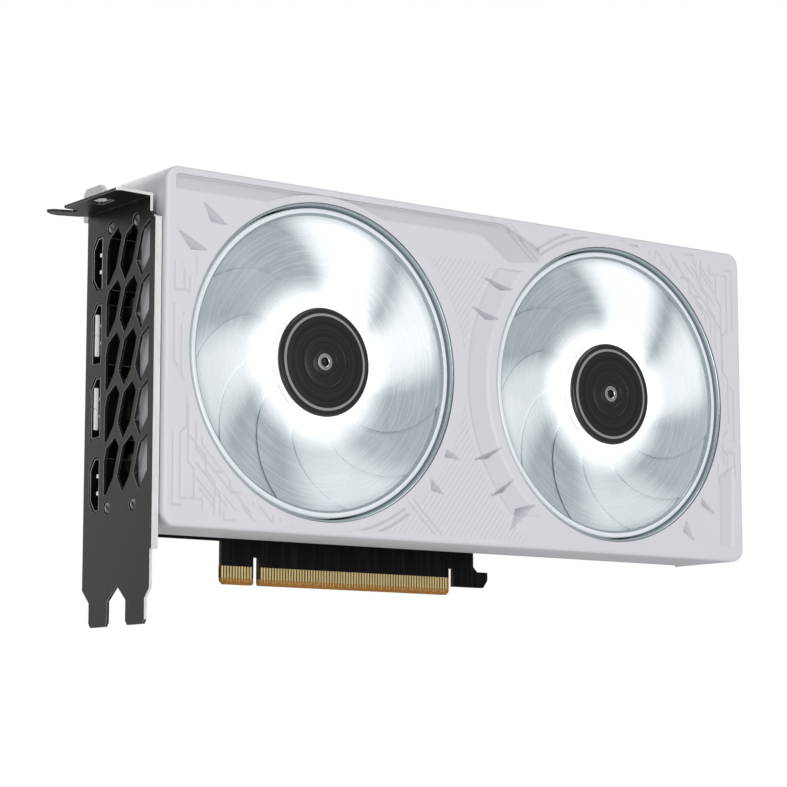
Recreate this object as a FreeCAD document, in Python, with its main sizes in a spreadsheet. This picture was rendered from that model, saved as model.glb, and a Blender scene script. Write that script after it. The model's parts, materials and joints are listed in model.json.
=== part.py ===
"""Dual-fan graphics card, dual-slot, full height.

Frame: the origin is the centre of the key notch at the bottom of the edge connector, on the
circuit board's middle plane. +X runs along the card away from the metal bracket, +Z is up, out
of the socket, and the fans face -Y. Depths named *_depth or written as a distance "forward" are
measured from the board's middle plane towards the fans, so they are minus Y.
"""
import FreeCAD, Part
import math
import os
import re

import Sketcher

Vector = FreeCAD.Vector
doc = FreeCAD.newDocument("graphics_card")

# ---------------------------------------------------------------- driving dimensions (mm)
DRIVING = {
    # circuit board and edge connector
    "board_left": -54.4, "board_right": 152.0, "board_bottom": 12.7, "board_top": 111.0,
    "board_rise": 1.5, "board_thick": 1.57, "key_wide": 1.9, "key_deep": 8.3, "tab_left": -12.15,
    "tab_right": 72.15, "tab_bevel": 1.0, "hook_left": 73.95,
    "hook_neck": 81.9, "hook_tip": 87.6, "hook_low": 2.7, "hook_high": 7.6,
    "pad_pitch": 1.0, "pad_wide": 0.6, "pad_low": 1.9, "pad_high": 5.4, "pad_thick": 0.05,
    "short_row": 11, "long_row": 71, "row_gap": 1.65,
    # shroud
    "shroud_left": -54.8, "shroud_right": 164.5, "shroud_bottom": 12.2, "shroud_top": 113.4,
    "shroud_depth": 37.4, "shroud_back": 8.5, "underside_back": 13.4, "shroud_wall": 1.8,
    "corner_round": 4.4, "edge_round": 1.0, "band_low": 106.3, "band_deep": 0.7,
    # fans
    "fan_x": -0.4, "fan_pitch": 109.2, "fan_z": 62.5, "opening_radius": 46.5,
    "post_reach": 37.0, "post_radius": 2.8, "frame_back": 21.6, "frame_front": 23.0,
    "ring_radius": 45.1, "ring_inner": 42.6, "ring_back": 26.5, "ring_front": 36.2,
    "hub_radius": 15.2, "hub_back": 24.5, "hub_front": 33.0, "cap_radius": 15.9,
    "cap_front": 36.8, "shaft_radius": 1.5, "fit_gap": 0.05, "blade_thick": 1.1,
    # bracket
    "bracket_face": -57.15, "sheet_thick": 0.86, "bracket_back": 2.2, "bracket_front": 34.7,
    "bracket_top": 105.62, "neck_front": 32.6, "tab_low": -14.4, "tab_wide": 10.2,
    "flange_reach": 11.1, "slot_wide": 4.6, "slot_long": 8.0, "slot_depth": 17.8,
    "vent_pitch": 15.0, "vent_low": 22.7,
    "hdmi_high": 15.2, "dp_high": 17.4, "port_front": 6.2, "port_long": 12.0,
    "upper_hdmi_z": 89.8, "upper_dp_z": 69.2, "lower_dp_z": 48.0, "lower_hdmi_z": 26.0,
    # cooler and processor
    "chip_x": 20.0, "chip_z": 62.0, "die_front": 2.6, "plate_front": 6.4,
    "fins_left": -46.0, "fins_right": 156.0, "fins_low": 17.0, "fins_high": 108.0,
    "fins_back": 6.5, "fins_front": 20.0, "fin_thick": 0.4, "fin_pitch": 2.2,
    "pipe_radius": 3.0, "pipe_depth": 10.2, "bolt_reach": 30.0,
    # back plate
    "cover_outer": 6.8, "cover_thick": 1.2, "cover_bottom": 15.5, "cover_top": 112.0,
}

sheet = doc.addObject("Spreadsheet::Sheet", "Sizes")
for row, (alias, number) in enumerate(DRIVING.items(), 1):
    sheet.set("A%d" % row, alias)
    sheet.set("B%d" % row, str(number))
    sheet.setAlias("B%d" % row, alias)
doc.recompute()

WORD = re.compile(r"[a-z_]+")
nodes = []


# ---------------------------------------------------------------- helpers
def size(alias):
    return float(getattr(sheet, alias))


def formula(text):
    """Point every driving dimension in a formula at its spreadsheet cell."""
    def cell(word):
        return "Sizes." + word.group(0) if word.group(0) in DRIVING else word.group(0)
    return WORD.sub(cell, str(text))


def bind(item, **sizes):
    for name, text in sizes.items():
        item.setExpression(name, formula(text))


def place(item, x, y, z):
    for axis, text in zip("xyz", (x, y, z)):
        item.setExpression("Placement.Base." + axis, formula(text))


def node(item, label):
    item.Label = label
    nodes.append(item)
    return item


def slab(name, x, z, forward):
    """A box given by its limits: x, z and forward are (low, high) formulas."""
    item = doc.addObject("Part::Box", name)
    bind(item, Length="(%s)-(%s)" % (x[1], x[0]), Width="(%s)-(%s)" % (forward[1], forward[0]),
         Height="(%s)-(%s)" % (z[1], z[0]))
    place(item, x[0], "-(%s)" % forward[1], z[0])
    return item


TURNS = {"forward": FreeCAD.Rotation(Vector(1, 0, 0), 90), "right": FreeCAD.Rotation(Vector(0, 1, 0), 90),
         "up": FreeCAD.Rotation()}


def rod(name, way, centre, radius, length):
    """A cylinder that starts at centre = (x, forward, z) and runs forward, right or up."""
    item = doc.addObject("Part::Cylinder", name)
    item.Placement = FreeCAD.Placement(Vector(), TURNS[way])
    bind(item, Radius=radius, Height=length)
    place(item, centre[0], "-(%s)" % centre[1], centre[2])
    return item


def join(name, items):
    item = doc.addObject("Part::MultiFuse", name)
    item.Shapes = items
    return item


def group(name, items):
    """Separate solids that share one node."""
    item = doc.addObject("Part::Compound", name)
    item.Links = items
    return item


def cut(name, base, tool):
    item = doc.addObject("Part::Cut", name)
    item.Base, item.Tool = base, tool
    return item


def tube(name, centre, outer, inner, length):
    """A ring about a fan's axis, running forward from centre."""
    return cut(name, rod(name + "_outer", "forward", centre, outer, length),
               rod(name + "_bore", "forward", centre, inner, length))


def screws(name, way, places, head, shank):
    """One node of screws: head and shank are (radius, length), the head's base is at each place."""
    items = []
    for i, (x, forward, z) in enumerate(places):
        starts = {
            "forward": (x, "%s-(%s)" % (forward, head[1]), z),
            "right": ("%s-(%s)" % (x, head[1]), forward, z),
        }
        top = rod("%s_head_%d" % (name, i), way, starts[way], head[0], head[1])
        pin = rod("%s_shank_%d" % (name, i), way, (x, forward, z), shank[0], shank[1])
        items.append(join("%s_%d" % (name, i), [top, pin]))
    return node(group(name, items), name)


def body(name):
    item = doc.addObject("PartDesign::Body", name)
    item.AllowCompound = True
    return node(item, name)


def sketch(owner, role, offset="0"):
    """A sketch on one of the body's own planes, moved along the plane's normal.

    XZ_Plane has its normal towards the fans, so the offset is a distance forward."""
    item = owner.newObject("Sketcher::SketchObject", owner.Name + "_sketch")
    plane = [part for part in owner.Origin.OriginFeatures if part.Role == role][0]
    item.AttachmentSupport = (plane, [""])
    item.MapMode = "FlatFace"
    item.setExpression("AttachmentOffset.Base.z", formula(offset))
    return item


def hold(item, kind, text, start, *where):
    """A sketch constraint whose value is a formula; start is only where the solver begins."""
    index = item.addConstraint(Sketcher.Constraint(kind, *where, start))
    item.setExpression("Constraints[%d]" % index, formula(text))


def outline(item, corners):
    """A closed outline whose corners are held by a pair of formulas each."""
    first, count = item.GeometryCount, len(corners)
    start = [Vector(90 * math.cos(2 * math.pi * i / count), 90 * math.sin(2 * math.pi * i / count))
             for i in range(count)]
    for i in range(count):
        item.addGeometry(Part.LineSegment(start[i], start[(i + 1) % count]))
    for i in range(count):
        item.addConstraint(Sketcher.Constraint("Coincident", first + i, 2, first + (i + 1) % count, 1))
    for i, corner in enumerate(corners):
        hold(item, "DistanceX", corner[0], start[i].x, -1, 1, first + i, 1)
        hold(item, "DistanceY", corner[1], start[i].y, -1, 1, first + i, 1)


def rectangle(item, low, high):
    outline(item, [(low[0], low[1]), (high[0], low[1]), (high[0], high[1]), (low[0], high[1])])


def ring(item, across, up, radius):
    geometry = item.addGeometry(Part.Circle(Vector(1, 1), Vector(0, 0, 1), 5))
    hold(item, "DistanceX", across, 1, -1, 1, geometry, 3)
    hold(item, "DistanceY", up, 1, -1, 1, geometry, 3)
    hold(item, "Radius", radius, 5, geometry)


def pad(owner, profile, length):
    item = owner.newObject("PartDesign::Pad", owner.Name + "_pad")
    item.Profile = profile
    bind(item, Length=length)
    owner.Tip = item
    return item


def pocket(owner, profile, length, along=False):
    """Cut against the sketch's normal, or along it when along is set."""
    before = owner.Tip
    item = owner.newObject("PartDesign::Pocket", owner.Name + "_pocket")
    item.Profile = profile
    bind(item, Length=length)
    item.Reversed = along
    owner.Tip = item
    doc.recompute()
    if not item.Shape.Volume < before.Shape.Volume - 0.01:
        raise RuntimeError("a pocket of %s cut nothing" % owner.Label)
    return item


def row(owner, source, direction, step, count, other_way=False):
    item = owner.newObject("PartDesign::LinearPattern", owner.Name + "_row")
    item.Originals = [source]
    item.Direction = direction
    item.Reversed = other_way
    item.Mode = "Spacing"
    bind(item, Offset=step, Occurrences=count)
    owner.Tip = item
    return item


def soften(owner, radius, chosen, kind="Fillet"):
    """Round or chamfer the edges for which chosen(edge) is true."""
    doc.recompute()
    base = owner.Tip
    names = ["Edge%d" % (i + 1) for i, edge in enumerate(base.Shape.Edges) if chosen(edge)]
    item = owner.newObject("PartDesign::" + kind, owner.Name + "_" + kind.lower())
    item.Base = (base, names)
    bind(item, **{"Radius" if kind == "Fillet" else "Size": radius})
    owner.Tip = item
    return item


def fan_centres():
    return (("left", "fan_x"), ("right", "fan_x + fan_pitch"))


def post_places():
    """Centres (x, z) of the four screw posts around each fan."""
    return [("%s %s post_reach" % (x, a), "fan_z %s post_reach" % b)
            for _, x in fan_centres() for a in "+-" for b in "+-"]


# ---------------------------------------------------------------- circuit board
def circuit_board():
    """Board with its key notch, latch hook and the holes for every bolt."""
    board = body("pcb")
    face = sketch(board, "XZ_Plane", "-board_thick / 2")
    key = "key_wide / 2"
    outline(face, [
        ("board_left", "board_bottom"), ("tab_left", "board_bottom"), ("tab_left", "tab_bevel"),
        ("tab_left + tab_bevel", "0"), ("-" + key + "- tab_bevel / 2", "0"),
        ("-" + key, "tab_bevel / 2"), ("-" + key, "key_deep"),
        (key, "key_deep"), (key, "tab_bevel / 2"), (key + "+ tab_bevel / 2", "0"),
        ("tab_right - tab_bevel", "0"), ("tab_right", "tab_bevel"), ("tab_right", "key_deep"),
        ("hook_left", "key_deep"), ("hook_left", "hook_low"), ("hook_tip - 1.7", "hook_low"),
        ("hook_tip", "hook_low + 2.4"), ("hook_tip", "hook_high"), ("hook_neck + 1.6", "hook_high"),
        ("hook_neck", "hook_high + 1.6"), ("hook_neck", "board_bottom + board_rise"),
        ("board_right", "board_bottom + board_rise"), ("board_right", "board_top"), ("board_left", "board_top")])
    pad(board, face, "board_thick")
    holes = sketch(board, "XZ_Plane", "-board_thick")
    for x, z in bolt_places() + cover_places():
        ring(holes, x, z, "1.7")
    pocket(board, holes, "2 * board_thick", along=True)


def bolt_places():
    return [("chip_x %s bolt_reach" % a, "chip_z %s bolt_reach" % b) for a in "+-" for b in "+-"]


def cover_places():
    """Screw places of the back plate, near the board's edges."""
    return [(x, z) for x in ("board_left + 12", "chip_x + 62", "board_right - 8")
            for z in ("board_bottom + 8", "board_top - 6")]


def edge_contacts():
    contacts = body("edge_contacts")
    across = [role for role in contacts.Origin.OriginFeatures if role.Role == "X_Axis"][0]
    for face in ("board_thick / 2", "-board_thick / 2 - pad_thick"):
        for start, count, other_way in (("-row_gap - pad_wide", "short_row", True),
                                        ("row_gap", "long_row", False)):
            drawn = sketch(contacts, "XZ_Plane", face)
            rectangle(drawn, (start, "pad_low"), (start + "+ pad_wide", "pad_high"))
            row(contacts, pad(contacts, drawn, "pad_thick"), (across, [""]), "pad_pitch", count, other_way)


def chips():
    """Processor, memory and the power stage on the board's front."""
    face = "board_thick / 2"
    node(slab("gpu_package", ("chip_x - 18", "chip_x + 18"), ("chip_z - 18", "chip_z + 18"),
              (face, "1.8")), "gpu_package")
    node(slab("gpu_die", ("chip_x - 9", "chip_x + 9"), ("chip_z - 8", "chip_z + 8"),
              ("1.8", "die_front")), "gpu_die")
    memory, pads = [], []
    spots = [(a, b) for a in ("- 31", "+ 31") for b in ("- 9", "+ 9")] + \
            [(a, b) for a in ("- 9", "+ 9") for b in ("- 31", "+ 31")]
    for i, (a, b) in enumerate(spots):
        x, z = "chip_x " + a, "chip_z " + b
        memory.append(slab("memory_%d" % i, (x + "- 6", x + "+ 6"), (z + "- 7", z + "+ 7"), (face, "2")))
        pads.append(slab("pad_%d" % i, (x + "- 5.5", x + "+ 5.5"), (z + "- 6", z + "+ 6"), ("2", "2.6")))
    node(group("memory_chips", memory), "memory_chips")
    node(group("thermal_pads", pads), "thermal_pads")
    stage = {"power_chokes": ("chip_x + 78", "3.5", "5.2"), "power_stages": ("chip_x + 67", "2.6", "1.8")}
    for name, (x, half, front) in stage.items():
        rows = [slab("%s_%d" % (name, i), (x + "-" + half, x + "+" + half),
                     ("32 + %d" % (10 * i), "32 + %d + 2 * %s" % (10 * i, half)), (face, front))
                for i in range(6)]
        node(group(name, rows), name)
    cans = [rod("can_%d" % i, "forward", ("chip_x + 90", face, "35.5 + %d" % (10 * i)), "3.1", "5.2")
            for i in range(6)]
    node(group("capacitors", cans), "capacitors")
    headers = []
    for i, z in enumerate(("50", "66")):
        block = slab("header_block_%d" % i, ("board_right - 14", "board_right - 4"), (z, z + "+ 4.6"),
                     (face, "5.6"))
        room = slab("header_room_%d" % i, ("board_right - 13.3", "board_right - 4.7"),
                    (z + "+ 0.7", z + "+ 5"), ("2", "6"))
        headers.append(cut("header_%d" % i, block, room))
    node(group("fan_headers", headers), "fan_headers")


def power_inlet():
    """Eight-way power socket on the top edge, open upwards."""
    left, low, high = "chip_x + 96", "board_top - 13.5", "board_top + 0.4"
    block = slab("inlet_block", (left, left + "+ 18.4"), (low, high), ("board_thick / 2", "11.2"))
    rooms, pins = [], []
    for column in range(4):
        for line in range(2):
            x, forward = "%s + 1.2 + %.1f" % (left, 4.2 * column), "1.9 + %.1f" % (4.2 * line)
            rooms.append(slab("inlet_room_%d%d" % (column, line), (x, x + "+ 3.4"),
                              (high + "- 11", high + "+ 1"), (forward, forward + "+ 3.4")))
            pins.append(slab("pin_%d%d" % (column, line), (x + "+ 1.3", x + "+ 2.1"),
                             (high + "- 11", high + "- 4"), (forward + "+ 1.3", forward + "+ 2.1")))
    node(cut("power_connector", block, join("inlet_rooms", rooms)), "power_connector")
    node(group("power_pins", pins), "power_pins")


# ---------------------------------------------------------------- cooler
def cooler():
    node(slab("cold_plate", ("chip_x - 22", "chip_x + 22"), ("chip_z - 22", "chip_z + 22"),
              ("die_front + 0.05", "plate_front")), "cold_plate")

    plate = body("memory_plate")
    face = sketch(plate, "XZ_Plane", "die_front")
    rectangle(face, ("chip_x - 42", "chip_z - 42"), ("chip_x + 42", "chip_z + 42"))
    rectangle(face, ("chip_x - 23", "chip_z - 23"), ("chip_x + 23", "chip_z + 23"))
    pad(plate, face, "1.6")
    feet = sketch(plate, "XZ_Plane", "board_thick / 2")
    for x, z in bolt_places():
        ring(feet, x, z, "2.4")
    pad(plate, feet, "die_front")
    bores = sketch(plate, "XZ_Plane", "0")
    for x, z in bolt_places():
        ring(bores, x, z, "1.25")
    pocket(plate, bores, "plate_front", along=True)

    heights = ["chip_z + %d" % (15 * i) for i in (-2, -1, 1, 2)]
    for i, z in enumerate(heights):
        node(rod("heat_pipe_%d" % (i + 1), "right", ("fins_left - 3", "pipe_depth", z), "pipe_radius",
                 "fins_right - fins_left + 5"), "heat_pipe_%d" % (i + 1))

    fins = body("heatsink_fins")
    drawn = sketch(fins, "YZ_Plane", "fins_left")
    rectangle(drawn, ("-fins_front", "fins_low"), ("-fins_back", "fins_high"))
    along = [part for part in fins.Origin.OriginFeatures if part.Role == "X_Axis"][0]
    for z in heights:
        ring(drawn, "-pipe_depth", z, "pipe_radius + fit_gap")
    row(fins, pad(fins, drawn, "fin_thick"), (along, [""]), "fin_pitch",
        "floor((fins_right - fins_left) / fin_pitch)")
    relief = sketch(fins, "XZ_Plane", "fins_back - 1")
    rectangle(relief, ("chip_x + 94.5", "board_top - 14.5"), ("chip_x + 116", "fins_high + 1"))
    pocket(fins, relief, "6.5", along=True)

    rails = [slab("rail_%d" % i, ("fins_left + 6", "fins_right - 6"), limits, ("14", "fins_front"))
             for i, limits in enumerate((("fins_high + 0.1", "shroud_top - shroud_wall - 0.1"),
                                         ("shroud_bottom + shroud_wall + 0.1", "fins_low - 0.1")))]
    top = cut("rail_top", rails[0], join("rail_bores", [
        rod("rail_bore_%d" % i, "up", (x, "17", "fins_high"), "1.15", "6")
        for i, x in enumerate(rail_places())]))
    node(group("mounting_rails", [top, rails[1]]), "mounting_rails")


def rail_places():
    return ("fins_left + 20", "(fins_left + fins_right) / 2", "fins_right - 20")


def back_side():
    """Back plate with its stand-offs, the spring cross behind the processor, and their screws."""
    cover = body("backplate")
    inner = "cover_outer - cover_thick"
    face = sketch(cover, "XZ_Plane", "-cover_outer")
    rectangle(face, ("board_left", "cover_bottom"), ("shroud_right - 0.5", "cover_top"))
    pad(cover, face, "cover_thick")
    soften(cover, "4", lambda edge: abs(edge.tangentAt(edge.FirstParameter).y) > 0.9)
    window = sketch(cover, "XZ_Plane", "-cover_outer - 1")
    rectangle(window, ("chip_x - 35", "chip_z - 35"), ("chip_x + 35", "chip_z + 35"))
    pocket(cover, window, "cover_thick + 2", along=True)
    lips = sketch(cover, "XZ_Plane", "-(%s)" % inner)
    lip_heights = (("cover_bottom", "cover_bottom + cover_thick"),
                   ("cover_top - cover_thick", "cover_top"))
    for low, high in lip_heights:
        rectangle(lips, ("board_left + 6", low), ("shroud_right - 8", high))
    pad(cover, lips, "3.4")
    feet = sketch(cover, "XZ_Plane", "-(%s)" % inner)
    for x, z in cover_places():
        ring(feet, x, z, "2.6")
    pad(cover, feet, inner + "- board_thick / 2")
    bores = sketch(cover, "XZ_Plane", "-cover_outer - 1")
    for x, z in cover_places():
        ring(bores, x, z, "1.25")
    pocket(cover, bores, "cover_outer + 1", along=True)
    slots = sketch(cover, "XZ_Plane", "-cover_outer - 1")
    rectangle(slots, ("board_right - 46", "34"), ("board_right - 22", "37"))
    vents = pocket(cover, slots, "cover_thick + 2", along=True)
    upward = [part for part in cover.Origin.OriginFeatures if part.Role == "Z_Axis"][0]
    row(cover, vents, (upward, [""]), "6", "9")
    lug = sketch(cover, "YZ_Plane", "board_left - 1.7")
    outline(lug, [("-4", "105.9"), ("3", "105.9"), ("3", "105.3"), ("4.4", "103.8"),
                  ("cover_outer", "103.8"), ("cover_outer", "112.1"), ("5.4", "113.5"),
                  ("-2.6", "113.5"), ("-4", "112.1")])
    pad(cover, lug, "1.5")
    arm = sketch(cover, "YZ_Plane", "board_left - 0.3")
    rectangle(arm, (inner, "103.8"), ("cover_outer", "110"))
    pad(cover, arm, "4")

    spring = body("retention_spring")
    face = sketch(spring, "XZ_Plane", "-3.3")
    arm_reach, arm_half, waist = 32 * math.sqrt(2), 3.4, 7
    corners = []
    for quarter in range(4):
        arm, gap = math.radians(90 * quarter + 45), math.radians(90 * quarter + 90)
        tips = [(arm_reach * math.cos(arm) - side * math.sin(arm),
                 arm_reach * math.sin(arm) + side * math.cos(arm)) for side in (-arm_half, arm_half)]
        for dx, dz in [*tips, (waist * math.cos(gap), waist * math.sin(gap))]:
            corners.append(("chip_x + (%.3f)" % dx, "chip_z + (%.3f)" % dz))
    outline(face, corners)
    pad(spring, face, "0.8")
    bores = sketch(spring, "XZ_Plane", "-4")
    for x, z in bolt_places():
        ring(bores, x, z, "1.25")
    pocket(spring, bores, "2", along=True)

    screws("retention_screws", "forward", [(x, "-3.3", z) for x, z in bolt_places()], ("2.4", "1.4"),
           ("1.2", "3.3 + 4"))
    screws("backplate_screws", "forward", [(x, "-cover_outer", z) for x, z in cover_places()],
           ("2.3", "0.7"), ("1.2", "cover_outer + 0.7"))


# ---------------------------------------------------------------- bracket and ports
PORTS = (("hdmi_upper", "upper_hdmi_z", "hdmi_high", True), ("dp_upper", "upper_dp_z", "dp_high", False),
         ("dp_lower", "lower_dp_z", "dp_high", False), ("hdmi_lower", "lower_hdmi_z", "hdmi_high", True))

BRACKET_SCREWS = (("11", "99.2"), ("25", "99.2"), ("11", "19"), ("25", "19"))


def port_outline(item, z, high, both, grow):
    """The D-shaped face of a port: its corners nearest the board are cut off, one or both."""
    top, low = "%s + %s / 2 + %s" % (z, high, grow), "%s - %s / 2 - %s" % (z, high, grow)
    board, front = "-(board_thick / 2 + 0.35 - %s)" % grow, "-(port_front + %s)" % grow
    corners = [(front, low), (front, top), (board + "- 2.4", top), (board, top + "- 3")]
    corners += [(board, low + "+ 3"), (board + "- 2.4", low)] if both else [(board, low)]
    outline(item, corners)


def ports():
    for name, z, high, both in PORTS:
        shell = body(name + "_shell")
        mouth = "bracket_face + 0.12"
        face = sketch(shell, "YZ_Plane", mouth)
        port_outline(face, z, high, both, "0")
        pad(shell, face, "port_long")
        room = sketch(shell, "YZ_Plane", mouth)
        port_outline(room, z, high, both, "-0.35")
        pocket(shell, room, "port_long - 1", along=True)

        insert = body(name + "_tongue")
        face = sketch(insert, "YZ_Plane", mouth + "+ 1.2")
        half, depth = (high + " / 2 - 2.2", "3.9") if both else (high + " / 2 - 2.5", "2.9")
        rectangle(face, ("-(%s) - 0.75" % depth, "%s - (%s)" % (z, half)),
                  ("-(%s) + 0.35" % depth, "%s + (%s)" % (z, half)))
        pad(insert, face, "port_long - 2.25")


def bracket():
    plate = body("io_bracket")
    face = sketch(plate, "YZ_Plane", "bracket_face")
    back_tab, front_tab = "-1.7", "-22"
    outline(face, [
        ("bracket_back", "bracket_top"), ("-neck_front", "bracket_top"), ("-neck_front", "100.5"),
        ("-bracket_front", "99"), ("-bracket_front", "-4.7"), (front_tab + "- tab_wide", "-7.4"),
        (front_tab + "- tab_wide", "tab_low + 1.2"), (front_tab + "- tab_wide + 1", "tab_low"),
        (front_tab + "- 1", "tab_low"), (front_tab, "tab_low + 1.2"), (front_tab, "-7.4"),
        ("-17.1", "-3.2"), (back_tab + "- tab_wide", "-7.4"),
        (back_tab + "- tab_wide", "tab_low + 1.2"), (back_tab + "- tab_wide + 1", "tab_low"),
        (back_tab + "- 1", "tab_low"), (back_tab, "tab_low + 1.2"), (back_tab, "-7.4"),
        ("bracket_back", "-3.7")])
    pad(plate, face, "sheet_thick")

    fold = sketch(plate, "YZ_Plane", "bracket_face")
    rectangle(fold, ("-bracket_front - sheet_thick", "6"), ("-bracket_front", "98.6"))
    pad(plate, fold, "2.1")

    flange = sketch(plate, "XY_Plane", "bracket_top - sheet_thick")
    edge = "bracket_face - flange_reach"
    outline(flange, [
        ("bracket_face + sheet_thick", "-neck_front"), (edge + "+ 1", "-neck_front - 1"),
        (edge, "-neck_front"), (edge, "-3.5"), ("bracket_face - 6.6", "-3.1"),
        ("bracket_face - 5.4", "-1.3"), ("bracket_face - 6.2", "0.6"), (edge, "2.2"),
        (edge + "- 1.5", "4"), (edge + "+ 0.4", "5.6"), ("bracket_face - 8", "6.1"),
        ("bracket_face - 2", "4.2"), ("bracket_face + sheet_thick", "bracket_back")])
    pad(plate, flange, "sheet_thick")

    slot = sketch(plate, "XY_Plane", "bracket_top + 1")
    middle, half = "bracket_face - 7", "slot_wide / 2"
    end, nip = "slot_long / 2", "slot_wide / 5"
    outline(slot, [
        (middle + "-" + half, "-slot_depth - (%s - %s)" % (end, nip)),
        (middle + "-" + half + "+" + nip, "-slot_depth -" + end),
        (middle + "+" + half + "-" + nip, "-slot_depth -" + end),
        (middle + "+" + half, "-slot_depth - (%s - %s)" % (end, nip)),
        (middle + "+" + half, "-slot_depth + (%s - %s)" % (end, nip)),
        (middle + "+" + half + "-" + nip, "-slot_depth +" + end),
        (middle + "-" + half + "+" + nip, "-slot_depth +" + end),
        (middle + "-" + half, "-slot_depth + (%s - %s)" % (end, nip))])
    pocket(plate, slot, "sheet_thick + 2")

    for name, z, high, both in PORTS:
        opening = sketch(plate, "YZ_Plane", "bracket_face - 1")
        port_outline(opening, z, high, both, "0.3")
        pocket(plate, opening, "sheet_thick + 2", along=True)

    upward = [part for part in plate.Origin.OriginFeatures if part.Role == "Z_Axis"][0]
    cell = [("-19.2", "0"), ("-23.1", "4.4"), ("-26.1", "13"), ("-24", "16"), ("-19.2", "13.1"),
            ("-16.2", "4.8")]
    left_cell = [("-9", "0"), ("-10.3", "0"), ("-14.1", "4.4"), ("-17.1", "13"), ("-15", "16"),
                 ("-10.2", "13.1"), ("-9", "9.7")]
    right_cell = [("-28.2", "0"), ("-32.6", "5"), ("-32.6", "15.6"), ("-28.2", "13.1"), ("-25.2", "4.8")]
    for corners in (left_cell, cell, right_cell):
        hole = sketch(plate, "YZ_Plane", "bracket_face - 1")
        outline(hole, [(y, "vent_low + " + z) for y, z in corners])
        vent = pocket(plate, hole, "2.2 + sheet_thick", along=True)
        row(plate, vent, (upward, [""]), "vent_pitch", "5")

    bores = sketch(plate, "YZ_Plane", "bracket_face - 1")
    for forward, z in BRACKET_SCREWS:
        ring(bores, "-" + forward, z, "1.9")
    pocket(plate, bores, "2 + sheet_thick", along=True)
    screws("bracket_screws", "right", [("bracket_face + 0.9", forward, z) for forward, z in BRACKET_SCREWS],
           ("1.8", "0.8"), ("1.2", "5.4"))


# ---------------------------------------------------------------- shroud
def shroud():
    cover = body("fan_shroud")
    face = sketch(cover, "XZ_Plane", "shroud_back")
    rectangle(face, ("shroud_left", "shroud_bottom"), ("shroud_right", "shroud_top"))
    pad(cover, face, "shroud_depth - shroud_back")
    soften(cover, "corner_round", lambda edge: abs(edge.tangentAt(edge.FirstParameter).y) > 0.9)
    soften(cover, "edge_round", lambda edge: edge.BoundBox.YMax < 0.1 - size("shroud_depth"))
    room = sketch(cover, "XZ_Plane", "shroud_back")
    wall = "shroud_wall"
    rectangle(room, ("shroud_left + " + wall, "shroud_bottom + " + wall),
              ("shroud_right - " + wall, "shroud_top - " + wall))
    pocket(cover, room, "shroud_depth - shroud_back - " + wall, along=True)
    mouths = sketch(cover, "XZ_Plane", "shroud_back")
    for _, x in fan_centres():
        ring(mouths, x, "fan_z", "opening_radius")
    pocket(cover, mouths, "shroud_depth", along=True)
    band = sketch(cover, "XZ_Plane", "shroud_depth")
    joint = "fan_x + fan_pitch / 2"
    outline(band, [
        ("shroud_left + 3", "band_low"), (joint + "+ 2.6", "band_low"), (joint + "+ 13.6", "fan_z + 36.6"),
        (joint + "+ 20", "fan_z + 34"), (joint + "+ 26", "fan_z + 42"), (joint + "+ 9", "shroud_top - 1.4"),
        ("shroud_left + 3", "shroud_top - 1.4")])
    pocket(cover, band, "band_deep")
    underside = sketch(cover, "XZ_Plane", "shroud_back - 1")
    rectangle(underside, ("shroud_left - 1", "shroud_bottom - 1"),
              ("shroud_right + 1", "shroud_bottom + 2"))
    pocket(cover, underside, "underside_back - shroud_back + 1", along=True)
    window = sketch(cover, "YZ_Plane", "shroud_left - 1")
    rectangle(window, ("-24", "27"), ("-shroud_back + 1", "91"))
    pocket(cover, window, "shroud_wall + 2", along=True)
    posts = sketch(cover, "XZ_Plane", "frame_front")
    for x, z in post_places():
        ring(posts, x, z, "post_radius")
    pad(cover, posts, "shroud_depth - shroud_wall - frame_front + 0.2")
    bores = sketch(cover, "XZ_Plane", "frame_front")
    for x, z in post_places():
        ring(bores, x, z, "1.05")
    pocket(cover, bores, "7", along=True)
    side = sketch(cover, "YZ_Plane", "shroud_left - 1")
    for forward, z in BRACKET_SCREWS:
        ring(side, "-" + forward, z, "1.25")
    pocket(cover, side, "shroud_wall + 2", along=True)
    upper = sketch(cover, "XY_Plane", "shroud_top + 1")
    for x in rail_places():
        ring(upper, x, "-17", "1.25")
    pocket(cover, upper, "shroud_wall + 2")
    gate = sketch(cover, "XY_Plane", "shroud_top + 1")
    rectangle(gate, ("chip_x + 95", "-12"), ("chip_x + 115.4", "-shroud_back + 1"))
    pocket(cover, gate, "shroud_wall + 2")

    screws_up = []
    for i, x in enumerate(rail_places()):
        head = rod("rail_head_%d" % i, "up", (x, "17", "shroud_top"), "2.1", "0.8")
        shank = rod("rail_shank_%d" % i, "up", (x, "17", "shroud_top - 4.2"), "1.1", "4.4")
        screws_up.append(join("rail_screw_%d" % i, [head, shank]))
    node(group("shroud_screws", screws_up), "shroud_screws")


# ---------------------------------------------------------------- fans
def blade_section(radius, lean, lead, trail):
    """A thin slanted strip across a blade: lean is its sweep, lead and trail its front and rear depth."""
    thick = size("blade_thick")
    chord = 0.36 * (radius + 12)
    points = []
    for along, depth in ((-0.5, lead), (0.5, trail), (0.5, trail - thick), (-0.5, lead - thick)):
        angle = lean + along * chord / radius
        points.append(Vector(radius * math.cos(angle), -depth, radius * math.sin(angle)))
    return Part.makePolygon(points + points[:1])


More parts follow.
